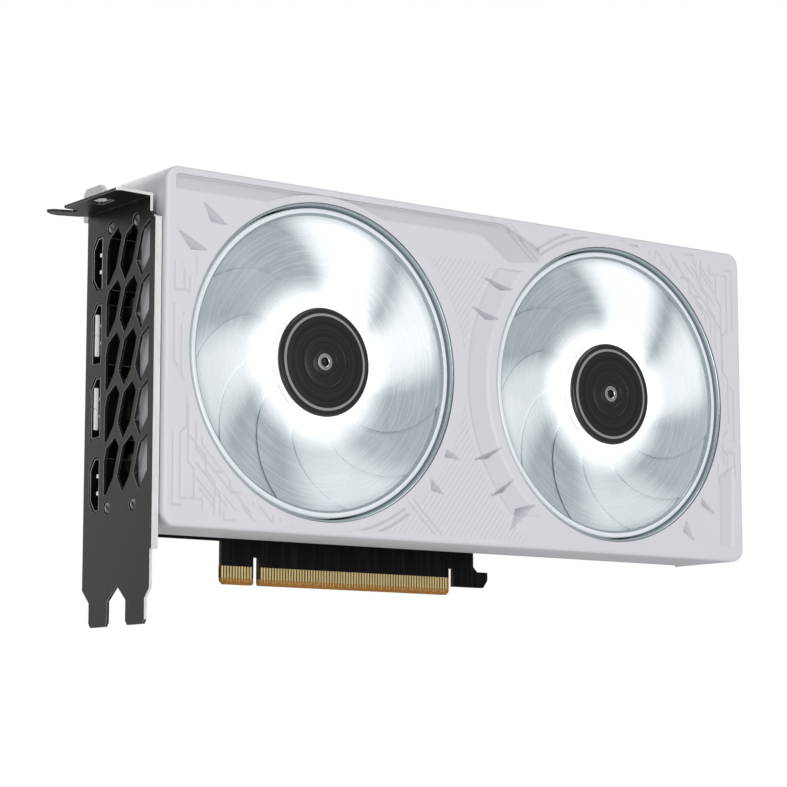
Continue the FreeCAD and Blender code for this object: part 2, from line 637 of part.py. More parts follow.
def blades(centre_x):
    """Eleven swept blades, leaning further the further out they reach."""
    inner, outer = size("hub_radius") - 0.15, size("ring_inner") + 0.5
    root_front, tip_front = size("hub_front") - 0.2, size("ring_front") - 1.2
    back = size("hub_back") + 2.8
    count = 11
    strips = []
    for step in range(4):
        share = step / 3
        radius = inner + share * (outer - inner)
        strips.append(blade_section(radius, -0.55 * share * share - 0.15 * share,
                                    root_front + (tip_front - root_front) * share, back + 0.8 * share))
    blade = Part.makeLoft(strips, True, False)
    turned = []
    for i in range(count):
        copy = blade.copy()
        copy.rotate(Vector(), Vector(0, 1, 0), 360 * i / count)
        copy.translate(Vector(centre_x, 0, size("fan_z")))
        turned.append(copy)
    return turned


def impeller(side, x):
    """Hub cup, swept blades and outer ring of one fan, moulded in one piece."""
    cup = cut("cup_" + side, rod("cup_outer_" + side, "forward", (x, "hub_back", "fan_z"), "hub_radius",
                                 "hub_front - hub_back"),
              join("cup_room_" + side, [
                  rod("cup_inner_" + side, "forward", (x, "hub_back - 1", "fan_z"), "hub_radius - 1.2",
                      "hub_front - hub_back - 0.2"),
                  rod("cup_bore_" + side, "forward", (x, "hub_back", "fan_z"),
                      "shaft_radius + 0.02", "20")]))
    rim = tube("rim_" + side, (x, "ring_back", "fan_z"), "ring_radius", "ring_inner",
               "ring_front - ring_back")
    doc.recompute()
    centre_x = size("fan_x") + (size("fan_pitch") if side == "right" else 0)
    item = doc.addObject("Part::Feature", "impeller_" + side)
    item.Shape = cup.Shape.fuse([rim.Shape] + blades(centre_x))
    item.Placement = FreeCAD.Placement()
    node(item, "impeller_" + side)


def hub_cap(side, x):
    """Round cap in front of the hub, with turned rings and a hollow centre."""
    cap = body("hub_cap_" + side)
    face = sketch(cap, "XZ_Plane", "hub_front + 0.05")
    ring(face, x, "fan_z", "cap_radius")
    pad(cap, face, "cap_front - hub_front - 0.05")
    soften(cap, "0.7", lambda edge: edge.BoundBox.YMax < 0.1 - size("cap_front"))
    for outer, inner in (("14.2", "13.1"), ("7.3", "6.9"), ("1.4", "0.6")):
        groove = sketch(cap, "XZ_Plane", "cap_front")
        ring(groove, x, "fan_z", outer)
        ring(groove, x, "fan_z", inner)
        pocket(cap, groove, "0.3")


def fan(side, x):
    """Frame, bearing, shaft, motor, light board, impeller, cap and bezel of one fan."""
    frame = body("fan_frame_" + side)
    face = sketch(frame, "XZ_Plane", "frame_back")
    ring(face, x, "fan_z", "17")
    pad(frame, face, "frame_front - frame_back")
    arm_half = 2.1
    for slope in (1, -1):
        corners = []
        for sign, flip in ((-1, -1), (-1, 1), (1, 1), (1, -1)):
            across = "%d * post_reach + (%.1f)" % (sign, arm_half * flip * slope)
            up = "%d * post_reach - (%.1f)" % (sign * slope, arm_half * flip)
            corners.append(("%s + %s" % (x, across), "fan_z + " + up))
        drawn = sketch(frame, "XZ_Plane", "frame_back")
        outline(drawn, corners)
        pad(frame, drawn, "frame_front - frame_back")
    seats = sketch(frame, "XZ_Plane", "frame_back")
    bores = sketch(frame, "XZ_Plane", "frame_back")
    for a in "+-":
        for b in "+-":
            ring(seats, "%s %s post_reach" % (x, a), "fan_z %s post_reach" % b, "4")
            ring(bores, "%s %s post_reach" % (x, a), "fan_z %s post_reach" % b, "1.25")
    pad(frame, seats, "frame_front - frame_back")
    boss = sketch(frame, "XZ_Plane", "frame_back")
    ring(boss, x, "fan_z", "4.6")
    pad(frame, boss, "25 - frame_back")
    ring(bores, x, "fan_z", "3.1")
    pocket(frame, bores, "6", along=True)

    node(tube("bearing_" + side, (x, "frame_back", "fan_z"), "3.05", "shaft_radius + fit_gap", "9.6"),
         "bearing_" + side)
    node(rod("shaft_" + side, "forward", (x, "frame_back + 0.4", "fan_z"), "shaft_radius",
             "hub_front - frame_back - 0.4"), "shaft_" + side)
    node(tube("magnet_ring_" + side, (x, "hub_back + 0.4", "fan_z"), "hub_radius - 1.25", "12", "6.4"),
         "magnet_ring_" + side)
    stator(side, x)
    node(tube("led_board_" + side, (x, "frame_front + 0.02", "fan_z"), "16.8", "5.2", "1.1"),
         "led_board_" + side)
    impeller(side, x)
    hub_cap(side, x)

    liner = [rod("liner_outer_" + side, "forward", (x, "28", "fan_z"), "opening_radius - fit_gap", "9.1"),
             rod("liner_flange_" + side, "forward", (x, "33.9", "fan_z"), "opening_radius + 1.4", "1.65")]
    node(cut("fan_bezel_" + side, join("liner_" + side, liner),
             rod("liner_bore_" + side, "forward", (x, "27", "fan_z"), "opening_radius - 0.8", "12")),
         "fan_bezel_" + side)


def stator(side, x):
    """Laminated core with nine coil poles about the bearing."""
    core = body("stator_" + side)
    face = sketch(core, "XZ_Plane", "25.3")
    ring(face, x, "fan_z", "6.2")
    ring(face, x, "fan_z", "3.1")
    pad(core, face, "5")
    for i in range(9):
        angle = math.radians(40 * i)
        drawn = sketch(core, "XZ_Plane", "25.8")
        corners = []
        for radius, side_step in ((5.6, -1.3), (11.2, -1.3), (11.2, 1.3), (5.6, 1.3)):
            dx = radius * math.sin(angle) + side_step * math.cos(angle)
            dz = radius * math.cos(angle) - side_step * math.sin(angle)
            corners.append(("%s + (%.3f)" % (x, dx), "fan_z + (%.3f)" % dz))
        outline(drawn, corners)
        pad(core, drawn, "4")


# ---------------------------------------------------------------- build, check and write
circuit_board()
edge_contacts()
chips()
power_inlet()
cooler()
back_side()
bracket()
ports()
shroud()
for fan_side, fan_centre in fan_centres():
    fan(fan_side, fan_centre)
screws("fan_screws", "forward", [(x, "frame_back", z) for x, z in post_places()], ("2.2", "1.1"),
       ("1", "7"))
doc.recompute()

for item in doc.Objects:
    bad = [word for word in item.State if word in ("Invalid", "Error")]
    if bad:
        raise RuntimeError("%s (%s) is %s" % (item.Label, item.Name, bad))

os.makedirs("parts", exist_ok=True)
for item in nodes:
    if item.Shape.isNull() or not item.Shape.isValid():
        raise RuntimeError("%s has no valid shape" % item.Label)
    item.Shape.exportStep(os.path.join("parts", item.Label + ".step"))
    print("%-20s %2d solids %10.1f mm3" % (item.Label, len(item.Shape.Solids), item.Shape.Volume))
print(len(nodes), "nodes")
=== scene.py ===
import json
import math

import bmesh
import bpy
import numpy as np
from mathutils import Matrix, Vector

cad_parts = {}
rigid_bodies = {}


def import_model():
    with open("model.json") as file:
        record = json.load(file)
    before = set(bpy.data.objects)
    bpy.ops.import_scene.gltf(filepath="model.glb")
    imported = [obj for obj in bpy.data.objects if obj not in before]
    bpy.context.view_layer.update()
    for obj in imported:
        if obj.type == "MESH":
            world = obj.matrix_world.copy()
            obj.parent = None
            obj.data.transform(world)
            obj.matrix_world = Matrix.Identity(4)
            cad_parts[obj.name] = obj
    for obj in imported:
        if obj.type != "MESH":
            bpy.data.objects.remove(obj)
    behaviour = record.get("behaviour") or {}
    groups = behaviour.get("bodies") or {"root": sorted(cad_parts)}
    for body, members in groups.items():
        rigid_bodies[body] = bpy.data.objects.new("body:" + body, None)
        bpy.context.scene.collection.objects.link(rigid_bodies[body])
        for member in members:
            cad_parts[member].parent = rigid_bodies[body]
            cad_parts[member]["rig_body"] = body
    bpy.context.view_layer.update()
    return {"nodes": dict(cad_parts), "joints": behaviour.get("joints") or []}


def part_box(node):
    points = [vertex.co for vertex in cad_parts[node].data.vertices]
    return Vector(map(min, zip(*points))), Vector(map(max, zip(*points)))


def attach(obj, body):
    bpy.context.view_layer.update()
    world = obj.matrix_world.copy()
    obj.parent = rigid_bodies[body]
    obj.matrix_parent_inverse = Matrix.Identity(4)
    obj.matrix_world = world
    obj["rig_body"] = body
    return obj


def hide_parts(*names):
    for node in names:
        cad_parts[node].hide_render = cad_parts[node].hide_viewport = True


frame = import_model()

MM = 0.001
NODES = frame["nodes"]
LAMP_COLOUR = (0.93, 0.97, 1.0)


def limits(node):
    """(low, high) corners of a CAD node in millimetres."""
    low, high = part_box(node)
    return low / MM, high / MM


# ------------------------------------------------------------------ camera, light and floor
CAMERA_PLACE = (-0.4179, -0.6357, -0.0518)
CAMERA_YAW, CAMERA_PITCH = 0.6357, 0.1430
LENS = 117.15


def camera():
    """The viewpoint, a little below the card and to its left."""
    yaw, pitch = CAMERA_YAW, CAMERA_PITCH
    ahead = Vector((math.sin(yaw) * math.cos(pitch), math.cos(yaw) * math.cos(pitch), math.sin(pitch)))
    right = Vector((math.cos(yaw), -math.sin(yaw), 0))
    up = right.cross(ahead)
    turn = Matrix((right, up, -ahead)).transposed().to_4x4()
    data = bpy.data.cameras.new("camera")
    data.lens = LENS
    data.clip_start = 0.01
    item = bpy.data.objects.new("camera", data)
    item.matrix_world = Matrix.Translation(CAMERA_PLACE) @ turn
    bpy.context.scene.collection.objects.link(item)
    bpy.context.scene.camera = item


def area_light(name, place, aim, power, width, height):
    data = bpy.data.lights.new(name, "AREA")
    data.shape = "RECTANGLE"
    data.size, data.size_y, data.energy = width, height, power
    item = bpy.data.objects.new(name, data)
    item.location = place
    item.rotation_euler = (Vector(aim) - Vector(place)).to_track_quat("-Z", "Y").to_euler()
    bpy.context.scene.collection.objects.link(item)


def studio():
    world = bpy.data.worlds.new("studio")
    bpy.context.scene.world = world
    world.use_nodes = True
    tree = world.node_tree
    tree.nodes.clear()
    out = tree.nodes.new("ShaderNodeOutputWorld")
    seen, fill = tree.nodes.new("ShaderNodeBackground"), tree.nodes.new("ShaderNodeBackground")
    seen.inputs["Strength"].default_value = 1.0
    seen.inputs["Color"].default_value = (1, 1, 1, 1)
    fill.inputs["Strength"].default_value = 0.30
    fill.inputs["Color"].default_value = (0.97, 0.98, 1, 1)
    path, mix = tree.nodes.new("ShaderNodeLightPath"), tree.nodes.new("ShaderNodeMixShader")
    tree.links.new(path.outputs["Is Camera Ray"], mix.inputs[0])
    tree.links.new(fill.outputs[0], mix.inputs[1])
    tree.links.new(seen.outputs[0], mix.inputs[2])
    tree.links.new(mix.outputs[0], out.inputs["Surface"])
    middle = (0.05, 0, 0.06)
    area_light("key", (-0.35, -2.0, -0.15), middle, 22, 1.3, 1.1)
    area_light("top", (0.25, -1.1, 1.6), middle, 7, 1.2, 0.8)
    area_light("left_strip", (-1.5, -0.5, 0.5), middle, 2.2, 0.25, 1.2)
    area_light("back_fill", (0.1, 2.0, 0.8), middle, 22, 2.0, 1.4)
    bpy.context.scene.view_settings.view_transform = "Standard"
    bpy.context.scene.view_settings.look = "None"


def floor():
    bm = bmesh.new()
    bmesh.ops.create_grid(bm, x_segments=8, y_segments=8, size=1.6)
    mesh = bpy.data.meshes.new("floor")
    bm.to_mesh(mesh)
    item = bpy.data.objects.new("floor", mesh)
    item.location = (0.05, 0, -0.5)
    bpy.context.scene.collection.objects.link(item)
    mesh.materials.append(finish("floor_paper", (0.80, 0.80, 0.80), 0.9, grain=(60, 0.0002), vary=0.01))


# ------------------------------------------------------------------ materials
class Nodes:
    """Short calls for the nodes of one material."""

    def __init__(self, name):
        self.material = bpy.data.materials.new(name)
        self.material.use_nodes = True
        self.tree = self.material.node_tree
        self.shader = self.tree.nodes["Principled BSDF"]
        self.place = self.add("ShaderNodeTexCoord").outputs["Object"]

    def add(self, kind, **values):
        item = self.tree.nodes.new(kind)
        for key, value in values.items():
            setattr(item, key, value)
        return item

    def feed(self, socket, value):
        if isinstance(value, bpy.types.NodeSocket):
            self.tree.links.new(value, socket)
        else:
            socket.default_value = value

    def math(self, operation, a, b=0.0, clamp=False):
        item = self.add("ShaderNodeMath", operation=operation, use_clamp=clamp)
        self.feed(item.inputs[0], a)
        self.feed(item.inputs[1], b)
        return item.outputs[0]

    def stretch(self, vector, scale):
        item = self.add("ShaderNodeMapping")
        self.feed(item.inputs["Vector"], vector)
        item.inputs["Scale"].default_value = scale
        return item.outputs[0]

    def noise(self, vector, scale, detail=3.0, rough=0.5):
        item = self.add("ShaderNodeTexNoise")
        self.feed(item.inputs["Vector"], vector)
        item.inputs["Scale"].default_value = scale
        item.inputs["Detail"].default_value = detail
        item.inputs["Roughness"].default_value = rough
        return item.outputs["Fac"]

    def spread(self, value, low, high, to_low=0.0, to_high=1.0, smooth=False):
        item = self.add("ShaderNodeMapRange")
        item.interpolation_type = "SMOOTHSTEP" if smooth else "LINEAR"
        self.feed(item.inputs["Value"], value)
        for key, number in (("From Min", low), ("From Max", high), ("To Min", to_low), ("To Max", to_high)):
            item.inputs[key].default_value = number
        return item.outputs["Result"]

    def mix(self, share, a, b):
        item = self.add("ShaderNodeMix", data_type="RGBA")
        self.feed(item.inputs["Factor"], share)
        for socket, value in ((item.inputs["A"], a), (item.inputs["B"], b)):
            self.feed(socket, value if isinstance(value, bpy.types.NodeSocket) else (*value, 1))
        return item.outputs["Result"]

    def bump(self, height, distance, strength=1.0):
        item = self.add("ShaderNodeBump")
        self.feed(item.inputs["Height"], height)
        item.inputs["Distance"].default_value = distance
        item.inputs["Strength"].default_value = strength
        self.tree.links.new(item.outputs[0], self.shader.inputs["Normal"])

    def edge(self):
        """1 on convex edges, 0 elsewhere, from the mesh's own pointiness."""
        return self.spread(self.add("ShaderNodeNewGeometry").outputs["Pointiness"], 0.52, 0.62)

    def axes(self):
        item = self.add("ShaderNodeSeparateXYZ")
        self.feed(item.inputs[0], self.place)
        return item.outputs

    def polar(self, centre):
        """Distances across and up from a fan's axis, and from the axis itself, in metres."""
        x, _, z = self.axes()
        across, up = self.math("SUBTRACT", x, centre[0]), self.math("SUBTRACT", z, centre[1])
        squares = self.math("MULTIPLY", across, across), self.math("MULTIPLY", up, up)
        return across, up, self.math("SQRT", self.math("ADD", *squares))


def shade(colour, factor):
    return tuple(min(1.0, part * factor) for part in colour)


def finish(name, colour, rough, metal=0.0, grain=(900, 0.00003), vary=0.08, edge_tint=None, brushed=None, coat=0.0,
           emission=None, painted_hollow_shade=None, shine=0.5, painted_fade=None):
    """A general finish: mottled colour, uneven roughness, a fine bump and, if asked, a tint on convex edges
    or brushing.

    The colour given for hollows is painted shade: hollows marked in the mesh's own layer darken towards it.
    The height fade is painted shade, given as (low z, high z, share): the colour darkens by that share from
    the one height to the other."""
    n = Nodes(name)
    cloud = n.noise(n.place, 22.0, 4.0)
    fine = n.noise(n.stretch(n.place, brushed) if brushed else n.place, grain[0], 4.0, 0.6)
    tone = n.mix(n.spread(cloud, 0.3, 0.7), shade(colour, 1 - vary), shade(colour, 1 + vary))
    if brushed:
        tone = n.mix(n.spread(fine, 0.35, 0.65, 0.0, 0.6), tone, shade(colour, 1.35))
    if painted_fade:
        tone = n.mix(n.spread(n.axes()[2], painted_fade[0], painted_fade[1], 0.0, painted_fade[2]), tone, (0, 0, 0))
    if edge_tint:
        tone = n.mix(n.edge(), tone, edge_tint)
    if painted_hollow_shade:
        hollow = n.add("ShaderNodeAttribute", attribute_name="painted_hollow_shade").outputs["Fac"]
        tone = n.mix(hollow, tone, painted_hollow_shade)
    n.feed(n.shader.inputs["Base Color"], tone)
    n.feed(n.shader.inputs["Roughness"], n.spread(fine, 0.25, 0.75, max(rough - 0.06, 0.03), rough + 0.06))
    n.shader.inputs["Metallic"].default_value = metal
    n.shader.inputs["Coat Weight"].default_value = coat
    n.shader.inputs["Specular IOR Level"].default_value = shine
    if emission:
        n.shader.inputs["Emission Color"].default_value = (*emission[0], 1)
        n.shader.inputs["Emission Strength"].default_value = emission[1]
    n.bump(fine, grain[1])
    return n.material


def board_finish(name):
    """Black solder mask with faint traces; bare laminate round the contact fingers and on the cut edges."""
    n = Nodes(name)
    x, _, z = n.axes()
    fine = n.noise(n.place, 1500.0, 4.0)
    lanes = n.noise(n.stretch(n.place, (900, 20, 55)), 1.0, 2.0)
    mask = n.mix(n.spread(lanes, 0.52, 0.58), (0.0022, 0.0022, 0.0025), (0.006, 0.007, 0.009))
    weave = n.noise(n.stretch(n.place, (1, 1, 3)), 2400.0, 2.0)
    laminate = n.mix(n.spread(weave, 0.35, 0.65), (0.26, 0.115, 0.025), (0.42, 0.20, 0.045))
    between = n.spread(z, 0.0018, 0.0020)
    laminate = n.mix(between, laminate, (0.045, 0.020, 0.006))
    bare = n.spread(n.math("ADD", z, n.math("MULTIPLY", fine, 0.0002)), 0.0054, 0.0056, 1.0, 0.0)
    on_tab = n.spread(x, 0.0728, 0.0729, 1.0, 0.0)
    normal = n.add("ShaderNodeSeparateXYZ")
    n.feed(normal.inputs[0], n.add("ShaderNodeTexCoord").outputs["Normal"])
    cut = n.spread(n.math("ABSOLUTE", normal.outputs[1]), 0.5, 0.7, 1.0, 0.0)
    low = n.spread(z, 0.0129, 0.0131, 1.0, 0.0)
    share = n.math("MAXIMUM", n.math("MULTIPLY", bare, on_tab), n.math("MULTIPLY", cut, low))
    n.feed(n.shader.inputs["Base Color"], n.mix(share, mask, laminate))
    n.feed(n.shader.inputs["Roughness"], n.spread(fine, 0.3, 0.7, 0.38, 0.55))
    n.shader.inputs["Specular IOR Level"].default_value = 0.12
    n.bump(n.math("ADD", lanes, fine), 0.00002)
    return n.material


# Painted highlight lobes on the blades: (direction, half width, power), angles in radians.
PAINTED_LOBES = ((0.75, 0.55, 1.0), (-0.25, 0.50, 0.75), (-1.95, 0.60, 0.45), (2.75, 0.50, 0.6))
LOBE_TWIST = -16.0  # radians per metre of radius


def blade_finish(name, centre):
    """Pearly translucent plastic with a painted glow near the hub, as if lit from the hub, painted highlight
    lobes and fine streaks that run round the axis.
    """
    n = Nodes(name)
    across, up, radius = n.polar(centre)
    sine, cosine = n.math("DIVIDE", up, radius), n.math("DIVIDE", across, radius)
    combine = n.add("ShaderNodeCombineXYZ")
    n.feed(combine.inputs[0], n.math("MULTIPLY", radius, 1400.0))
    n.feed(combine.inputs[1], n.math("MULTIPLY", sine, 2.2))
    n.feed(combine.inputs[2], n.math("MULTIPLY", cosine, 2.2))
    streak = n.noise(combine.outputs[0], 1.0, 3.0, 0.55)
    turned = n.math("ADD", n.math("ARCTAN2", up, across), n.math("MULTIPLY", radius, LOBE_TWIST))
    # painted highlights: bright lobes in the colour and the emission, turning with the rotor
    painted_highlights = 0.0
    for direction, width, power in PAINTED_LOBES:
        apart = n.math("COSINE", n.math("SUBTRACT", turned, direction))
        painted_highlight = n.spread(apart, math.cos(width), 1.0, 0.0, power, smooth=True)
        painted_highlights = n.math("ADD", painted_highlight, painted_highlights)
    fading = n.spread(radius, 0.0400, 0.0440, 1.0, 0.3, smooth=True)
    painted_highlights = n.math("MULTIPLY", painted_highlights, fading)
    cloud = n.spread(n.noise(n.place, 30.0, 2.0), 0.35, 0.65, -0.06, 0.16)
    share = n.math("ADD", painted_highlights, cloud, clamp=True)
    grey = n.mix(share, (0.42, 0.49, 0.52), (0.88, 0.92, 0.94))
    pale = n.mix(n.spread(streak, 0.4, 0.65, 0.0, 0.22), grey, (0.80, 0.84, 0.86))
    # painted glow: the blades whiten and emit near the hub
    glow = n.spread(radius, 0.0165, 0.0275, 1.0, 0.0, smooth=True)
    n.feed(n.shader.inputs["Base Color"], n.mix(glow, pale, (0.92, 0.95, 0.97)))
    # emission strength from the painted glow and the painted highlight lobes
    lit = n.math("ADD", n.math("MULTIPLY", glow, 0.38), n.math("MULTIPLY", share, 0.28))
    n.feed(n.shader.inputs["Roughness"], n.spread(streak, 0.3, 0.7, 0.16, 0.34))
    n.shader.inputs["Emission Color"].default_value = (*LAMP_COLOUR, 1)
    n.feed(n.shader.inputs["Emission Strength"], lit)
    n.shader.inputs["Metallic"].default_value = 0.15
    n.shader.inputs["Coat Weight"].default_value = 0.2
    n.bump(streak, 0.00002)
    return n.material


def turned_finish(name, centre, dark, light, rough, metal, pitch=2600.0):
    """A lathe-turned face: rings about a fan's axis."""
    n = Nodes(name)
    radius = n.polar(centre)[2]
    combine = n.add("ShaderNodeCombineXYZ")
    n.feed(combine.inputs[0], n.math("MULTIPLY", radius, pitch))
    rings = n.noise(combine.outputs[0], 1.0, 2.0)
    broad = n.noise(n.stretch(combine.outputs[0], (0.22, 1, 1)), 1.0, 2.0)
    share = n.math("MULTIPLY", n.math("ADD", rings, broad), 0.5)
    n.feed(n.shader.inputs["Base Color"], n.mix(n.spread(share, 0.38, 0.62), dark, light))
    n.feed(n.shader.inputs["Roughness"], n.spread(rings, 0.3, 0.7, rough - 0.05, rough + 0.08))
    n.shader.inputs["Metallic"].default_value = metal
    n.bump(rings, 0.00003)
    return n.material


def materials():
    steel = (0.066, 0.063, 0.058)
    return {
        "board": board_finish("board"),
        "gold": finish("gold", (0.88, 0.64, 0.30), 0.34, 0.55, brushed=(1, 1, 0.1), vary=0.10),
        # the shroud's hollows darken towards a painted shade colour
        "shroud": finish("shroud_white", (0.700, 0.695, 0.740), 0.46, grain=(2600, 0.000012), vary=0.012,
                         edge_tint=(0.86, 0.86, 0.90), painted_hollow_shade=(0.33, 0.32, 0.37)),
        "shroud_inside": finish("shroud_inside", (0.62, 0.62, 0.65), 0.6, grain=(1800, 0.00002)),
        # painted shade: the bracket's colour darkens towards the top
        "bracket": finish("bracket_nickel", steel, 0.36, 0.80, brushed=(1, 6, 0.12), grain=(700, 0.000008),
                          painted_fade=(0.0, 0.085, 0.62)),
        # painted highlight: a near-white copy of the bracket metal for its front-facing faces
        "front_painted_highlight": finish("front_edge_painted_highlight", (0.90, 0.89, 0.87), 0.30, 0.35, brushed=(1, 6, 0.1), vary=0.04),
        # painted highlight: a light metal finish for the chamfers of the bracket and port shells
        "edge_metal_painted_highlight": finish("edge_metal_painted_highlight", (0.62, 0.61, 0.58), 0.3, 0.3, vary=0.1),
        "shell": finish("port_shell", (0.010, 0.010, 0.010), 0.4, 0.3, shine=0.15, vary=0.2),
        "port_black": finish("port_black", (0.003, 0.003, 0.003), 0.7, vary=0.2, shine=0.05),
        # painted glow: the white contacts in the port mouths emit faintly
        "contact_white_painted_glow": finish("contact_white_painted_glow", (0.9, 0.9, 0.88), 0.3, vary=0.04,
                                emission=((1, 1, 1), 0.25)),
        "fin": finish("fin", (0.55, 0.56, 0.58), 0.28, 1.0, brushed=(1, 1, 8)),
        "black_metal": finish("black_metal", (0.012, 0.012, 0.013), 0.5, 0.4, edge_tint=(0.06, 0.06, 0.06)),
        "white_metal": finish("white_metal", (0.74, 0.735, 0.77), 0.42, grain=(2200, 0.00002), vary=0.02,
                              edge_tint=(0.85, 0.85, 0.88)),
        "screw": finish("screw_black", (0.11, 0.11, 0.11), 0.32, 0.6, edge_tint=(0.45, 0.45, 0.44)),
        "nickel": finish("nickel", (0.66, 0.65, 0.62), 0.16, 1.0, brushed=(0.2, 4, 4)),
        "copper": finish("copper", (0.70, 0.36, 0.22), 0.25, 1.0, brushed=(1, 1, 6)),
        "chip": finish("chip_black", (0.018, 0.018, 0.018), 0.48, vary=0.15),
        "silicon": finish("silicon", (0.10, 0.10, 0.12), 0.08, 0.6),
        "substrate": finish("substrate", (0.02, 0.075, 0.03), 0.4),
        "pad": finish("pad_grey", (0.35, 0.36, 0.38), 0.8, grain=(1200, 0.0001)),
        "choke": finish("choke", (0.09, 0.09, 0.095), 0.6, grain=(1600, 0.00008)),
        "can": finish("can", (0.62, 0.63, 0.65), 0.25, 1.0),
        "socket": finish("socket_black", (0.012, 0.012, 0.012), 0.42, edge_tint=(0.05, 0.05, 0.05)),
        "spring": finish("spring_steel", (0.42, 0.42, 0.43), 0.26, 1.0, brushed=(6, 1, 0.3)),
        "bronze": finish("bronze", (0.45, 0.25, 0.11), 0.38, 1.0),
        "shaft": finish("shaft_steel", (0.66, 0.66, 0.67), 0.14, 1.0, brushed=(6, 0.3, 6)),
        "magnet": finish("magnet", (0.05, 0.05, 0.05), 0.5, 0.3),
        "winding": finish("winding", (0.40, 0.16, 0.06), 0.35, 0.8, brushed=(1, 8, 1)),
        "led": finish("led_board", (0.85, 0.88, 0.92), 0.4, emission=((0.92, 0.97, 1.0), 1.2)),
        "bezel": finish("bezel", (0.25, 0.32, 0.35), 0.30, 0.35, brushed=(1, 4, 1), vary=0.05, coat=0.3),
        # painted highlight: a lighter copy of the bezel finish for the chamfered lips
        "bezel_lip_painted_highlight": finish("bezel_lip_painted_highlight", (0.42, 0.49, 0.52), 0.24, 0.4, vary=0.03, coat=0.3),
        "seam": finish("seam", (0.03, 0.035, 0.04), 0.4),
        # painted glow: the white ring emits faintly
        "ring_white_painted_glow": finish("ring_white_painted_glow", (0.78, 0.82, 0.85), 0.22, vary=0.02, coat=0.4,
                             emission=(LAMP_COLOUR, 0.06)),
    }


# ------------------------------------------------------------------ mesh helpers
def mark_painted_shade(mesh, values):
    """Stores how much painted shade darkens the surface at each vertex, for the material to mix in."""
    layer = mesh.attributes.new("painted_hollow_shade", "FLOAT", "POINT")
    layer.data.foreach_set("value", values)


def make(name, mesh, body, replaced=(), looks=()):
    """A piece that rides a body, wears a slot and hides the CAD nodes that it replaces."""
    item = bpy.data.objects.new(name, mesh)
    bpy.context.scene.collection.objects.link(item)
    for look in looks:
        mesh.materials.append(look)
    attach(item, body)
    if replaced:
        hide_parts(*replaced)
    return item


def to_mesh(name, vertices, faces, marks=None, smooth_angle=32):
    """A mesh from points in millimetres as (x, forward, z)."""
    mesh = bpy.data.meshes.new(name)
    mesh.from_pydata([(x * MM, -w * MM, z * MM) for x, w, z in vertices], [], faces)
    if marks:
        mesh.polygons.foreach_set("material_index", marks)
    tidy = bmesh.new()
    tidy.from_mesh(mesh)
    bmesh.ops.recalc_face_normals(tidy, faces=tidy.faces)
    tidy.to_mesh(mesh)
    tidy.free()
    mesh.polygons.foreach_set("use_smooth", [True] * len(mesh.polygons))
    mesh.set_sharp_from_angle(angle=math.radians(smooth_angle))
    return mesh


def lathe(profile, centre, marks=None, count=144, closed=True):
    """Vertices, faces and marks of a profile of (radius, forward) turned about a fan's axis."""
    vertices, faces, used = [], [], []
    for radius, forward in profile:
        for i in range(count):
            angle = 2 * math.pi * i / count
            vertices.append((centre[0] + radius * math.cos(angle), forward,
                             centre[1] + radius * math.sin(angle)))
    rows = len(profile)
    for j in range(rows if closed else rows - 1):
        following = (j + 1) % rows
        for i in range(count):
            faces.append((j * count + i, j * count + (i + 1) % count,
                          following * count + (i + 1) % count, following * count + i))
            used.append(marks[j] if marks else 0)
    return vertices, faces, used


def append(parts, more):
    """Adds (vertices, faces, marks) to a growing triple."""
    offset = len(parts[0])
    parts[0].extend(more[0])
    parts[1].extend(tuple(i + offset for i in face) for face in more[1])
    parts[2].extend(more[2])


def bevelled(name, node, looks, width):
    """A copy of a CAD node with small chamfered edges, which take the second material if there is one."""
    mesh = NODES[node].data.copy()
    mesh.name = name
    mesh.materials.clear()
    if "custom_normal" in mesh.attributes:
        mesh.attributes.remove(mesh.attributes["custom_normal"])
    bm = bmesh.new()
    bm.from_mesh(mesh)
    bmesh.ops.remove_doubles(bm, verts=bm.verts, dist=1e-6)
    bmesh.ops.dissolve_limit(bm, angle_limit=math.radians(1.0), verts=bm.verts, edges=bm.edges)
    for face in bm.faces:
        face.material_index = 0
        face.smooth = False
    bm.to_mesh(mesh)
    bm.free()
    item = make(name, mesh, NODES[node]["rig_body"], (node,), looks)
    bevel = item.modifiers.new("edges", "BEVEL")
    bevel.width = width * MM
    bevel.segments = 1
    bevel.limit_method = "ANGLE"
    bevel.angle_limit = math.radians(40)
    if len(looks) > 1:
        bevel.material = 1
    apply_modifiers(item)
    return item


def apply_modifiers(item):
    ready = item.evaluated_get(bpy.context.evaluated_depsgraph_get())
    mesh = bpy.data.meshes.new_from_object(ready)
    old = item.data
    item.modifiers.clear()
    item.data = mesh
    bpy.data.meshes.remove(old)


# ------------------------------------------------------------------ shroud
SHROUD_LOW, SHROUD_HIGH = limits("fan_shroud")
LEFT, RIGHT = SHROUD_LOW.x, SHROUD_HIGH.x
BOTTOM, TOP = SHROUD_LOW.z, SHROUD_HIGH.z
FRONT, BACK = -SHROUD_LOW.y, -SHROUD_HIGH.y
CORNER, WALL = 4.4, 1.8
RIM = 1.5  # width of the rounded rim round the face
CELL = 0.3  # grid step of the shroud's front
FAR = 99.0
JOINTS = {joint["child"]: joint for joint in frame["joints"]}
FANS = {side: (JOINTS[side + "_rotor"]["pos_m"][0] / MM, JOINTS[side + "_rotor"]["pos_m"][2] / MM)
        for side in ("left", "right")}
OPENING = (limits("fan_bezel_left")[1].x - limits("fan_bezel_left")[0].x) / 2 - 1.4
WINDOW = (18, 101)  # heights between which the left wall stops short, behind the bracket's vents
GATE = [corner.x + side for corner, side in zip(limits("power_connector"), (-1, 1))]
FLOOR_REAR, WINDOW_REAR, GATE_REAR = 13.4, 24.0, 12.0


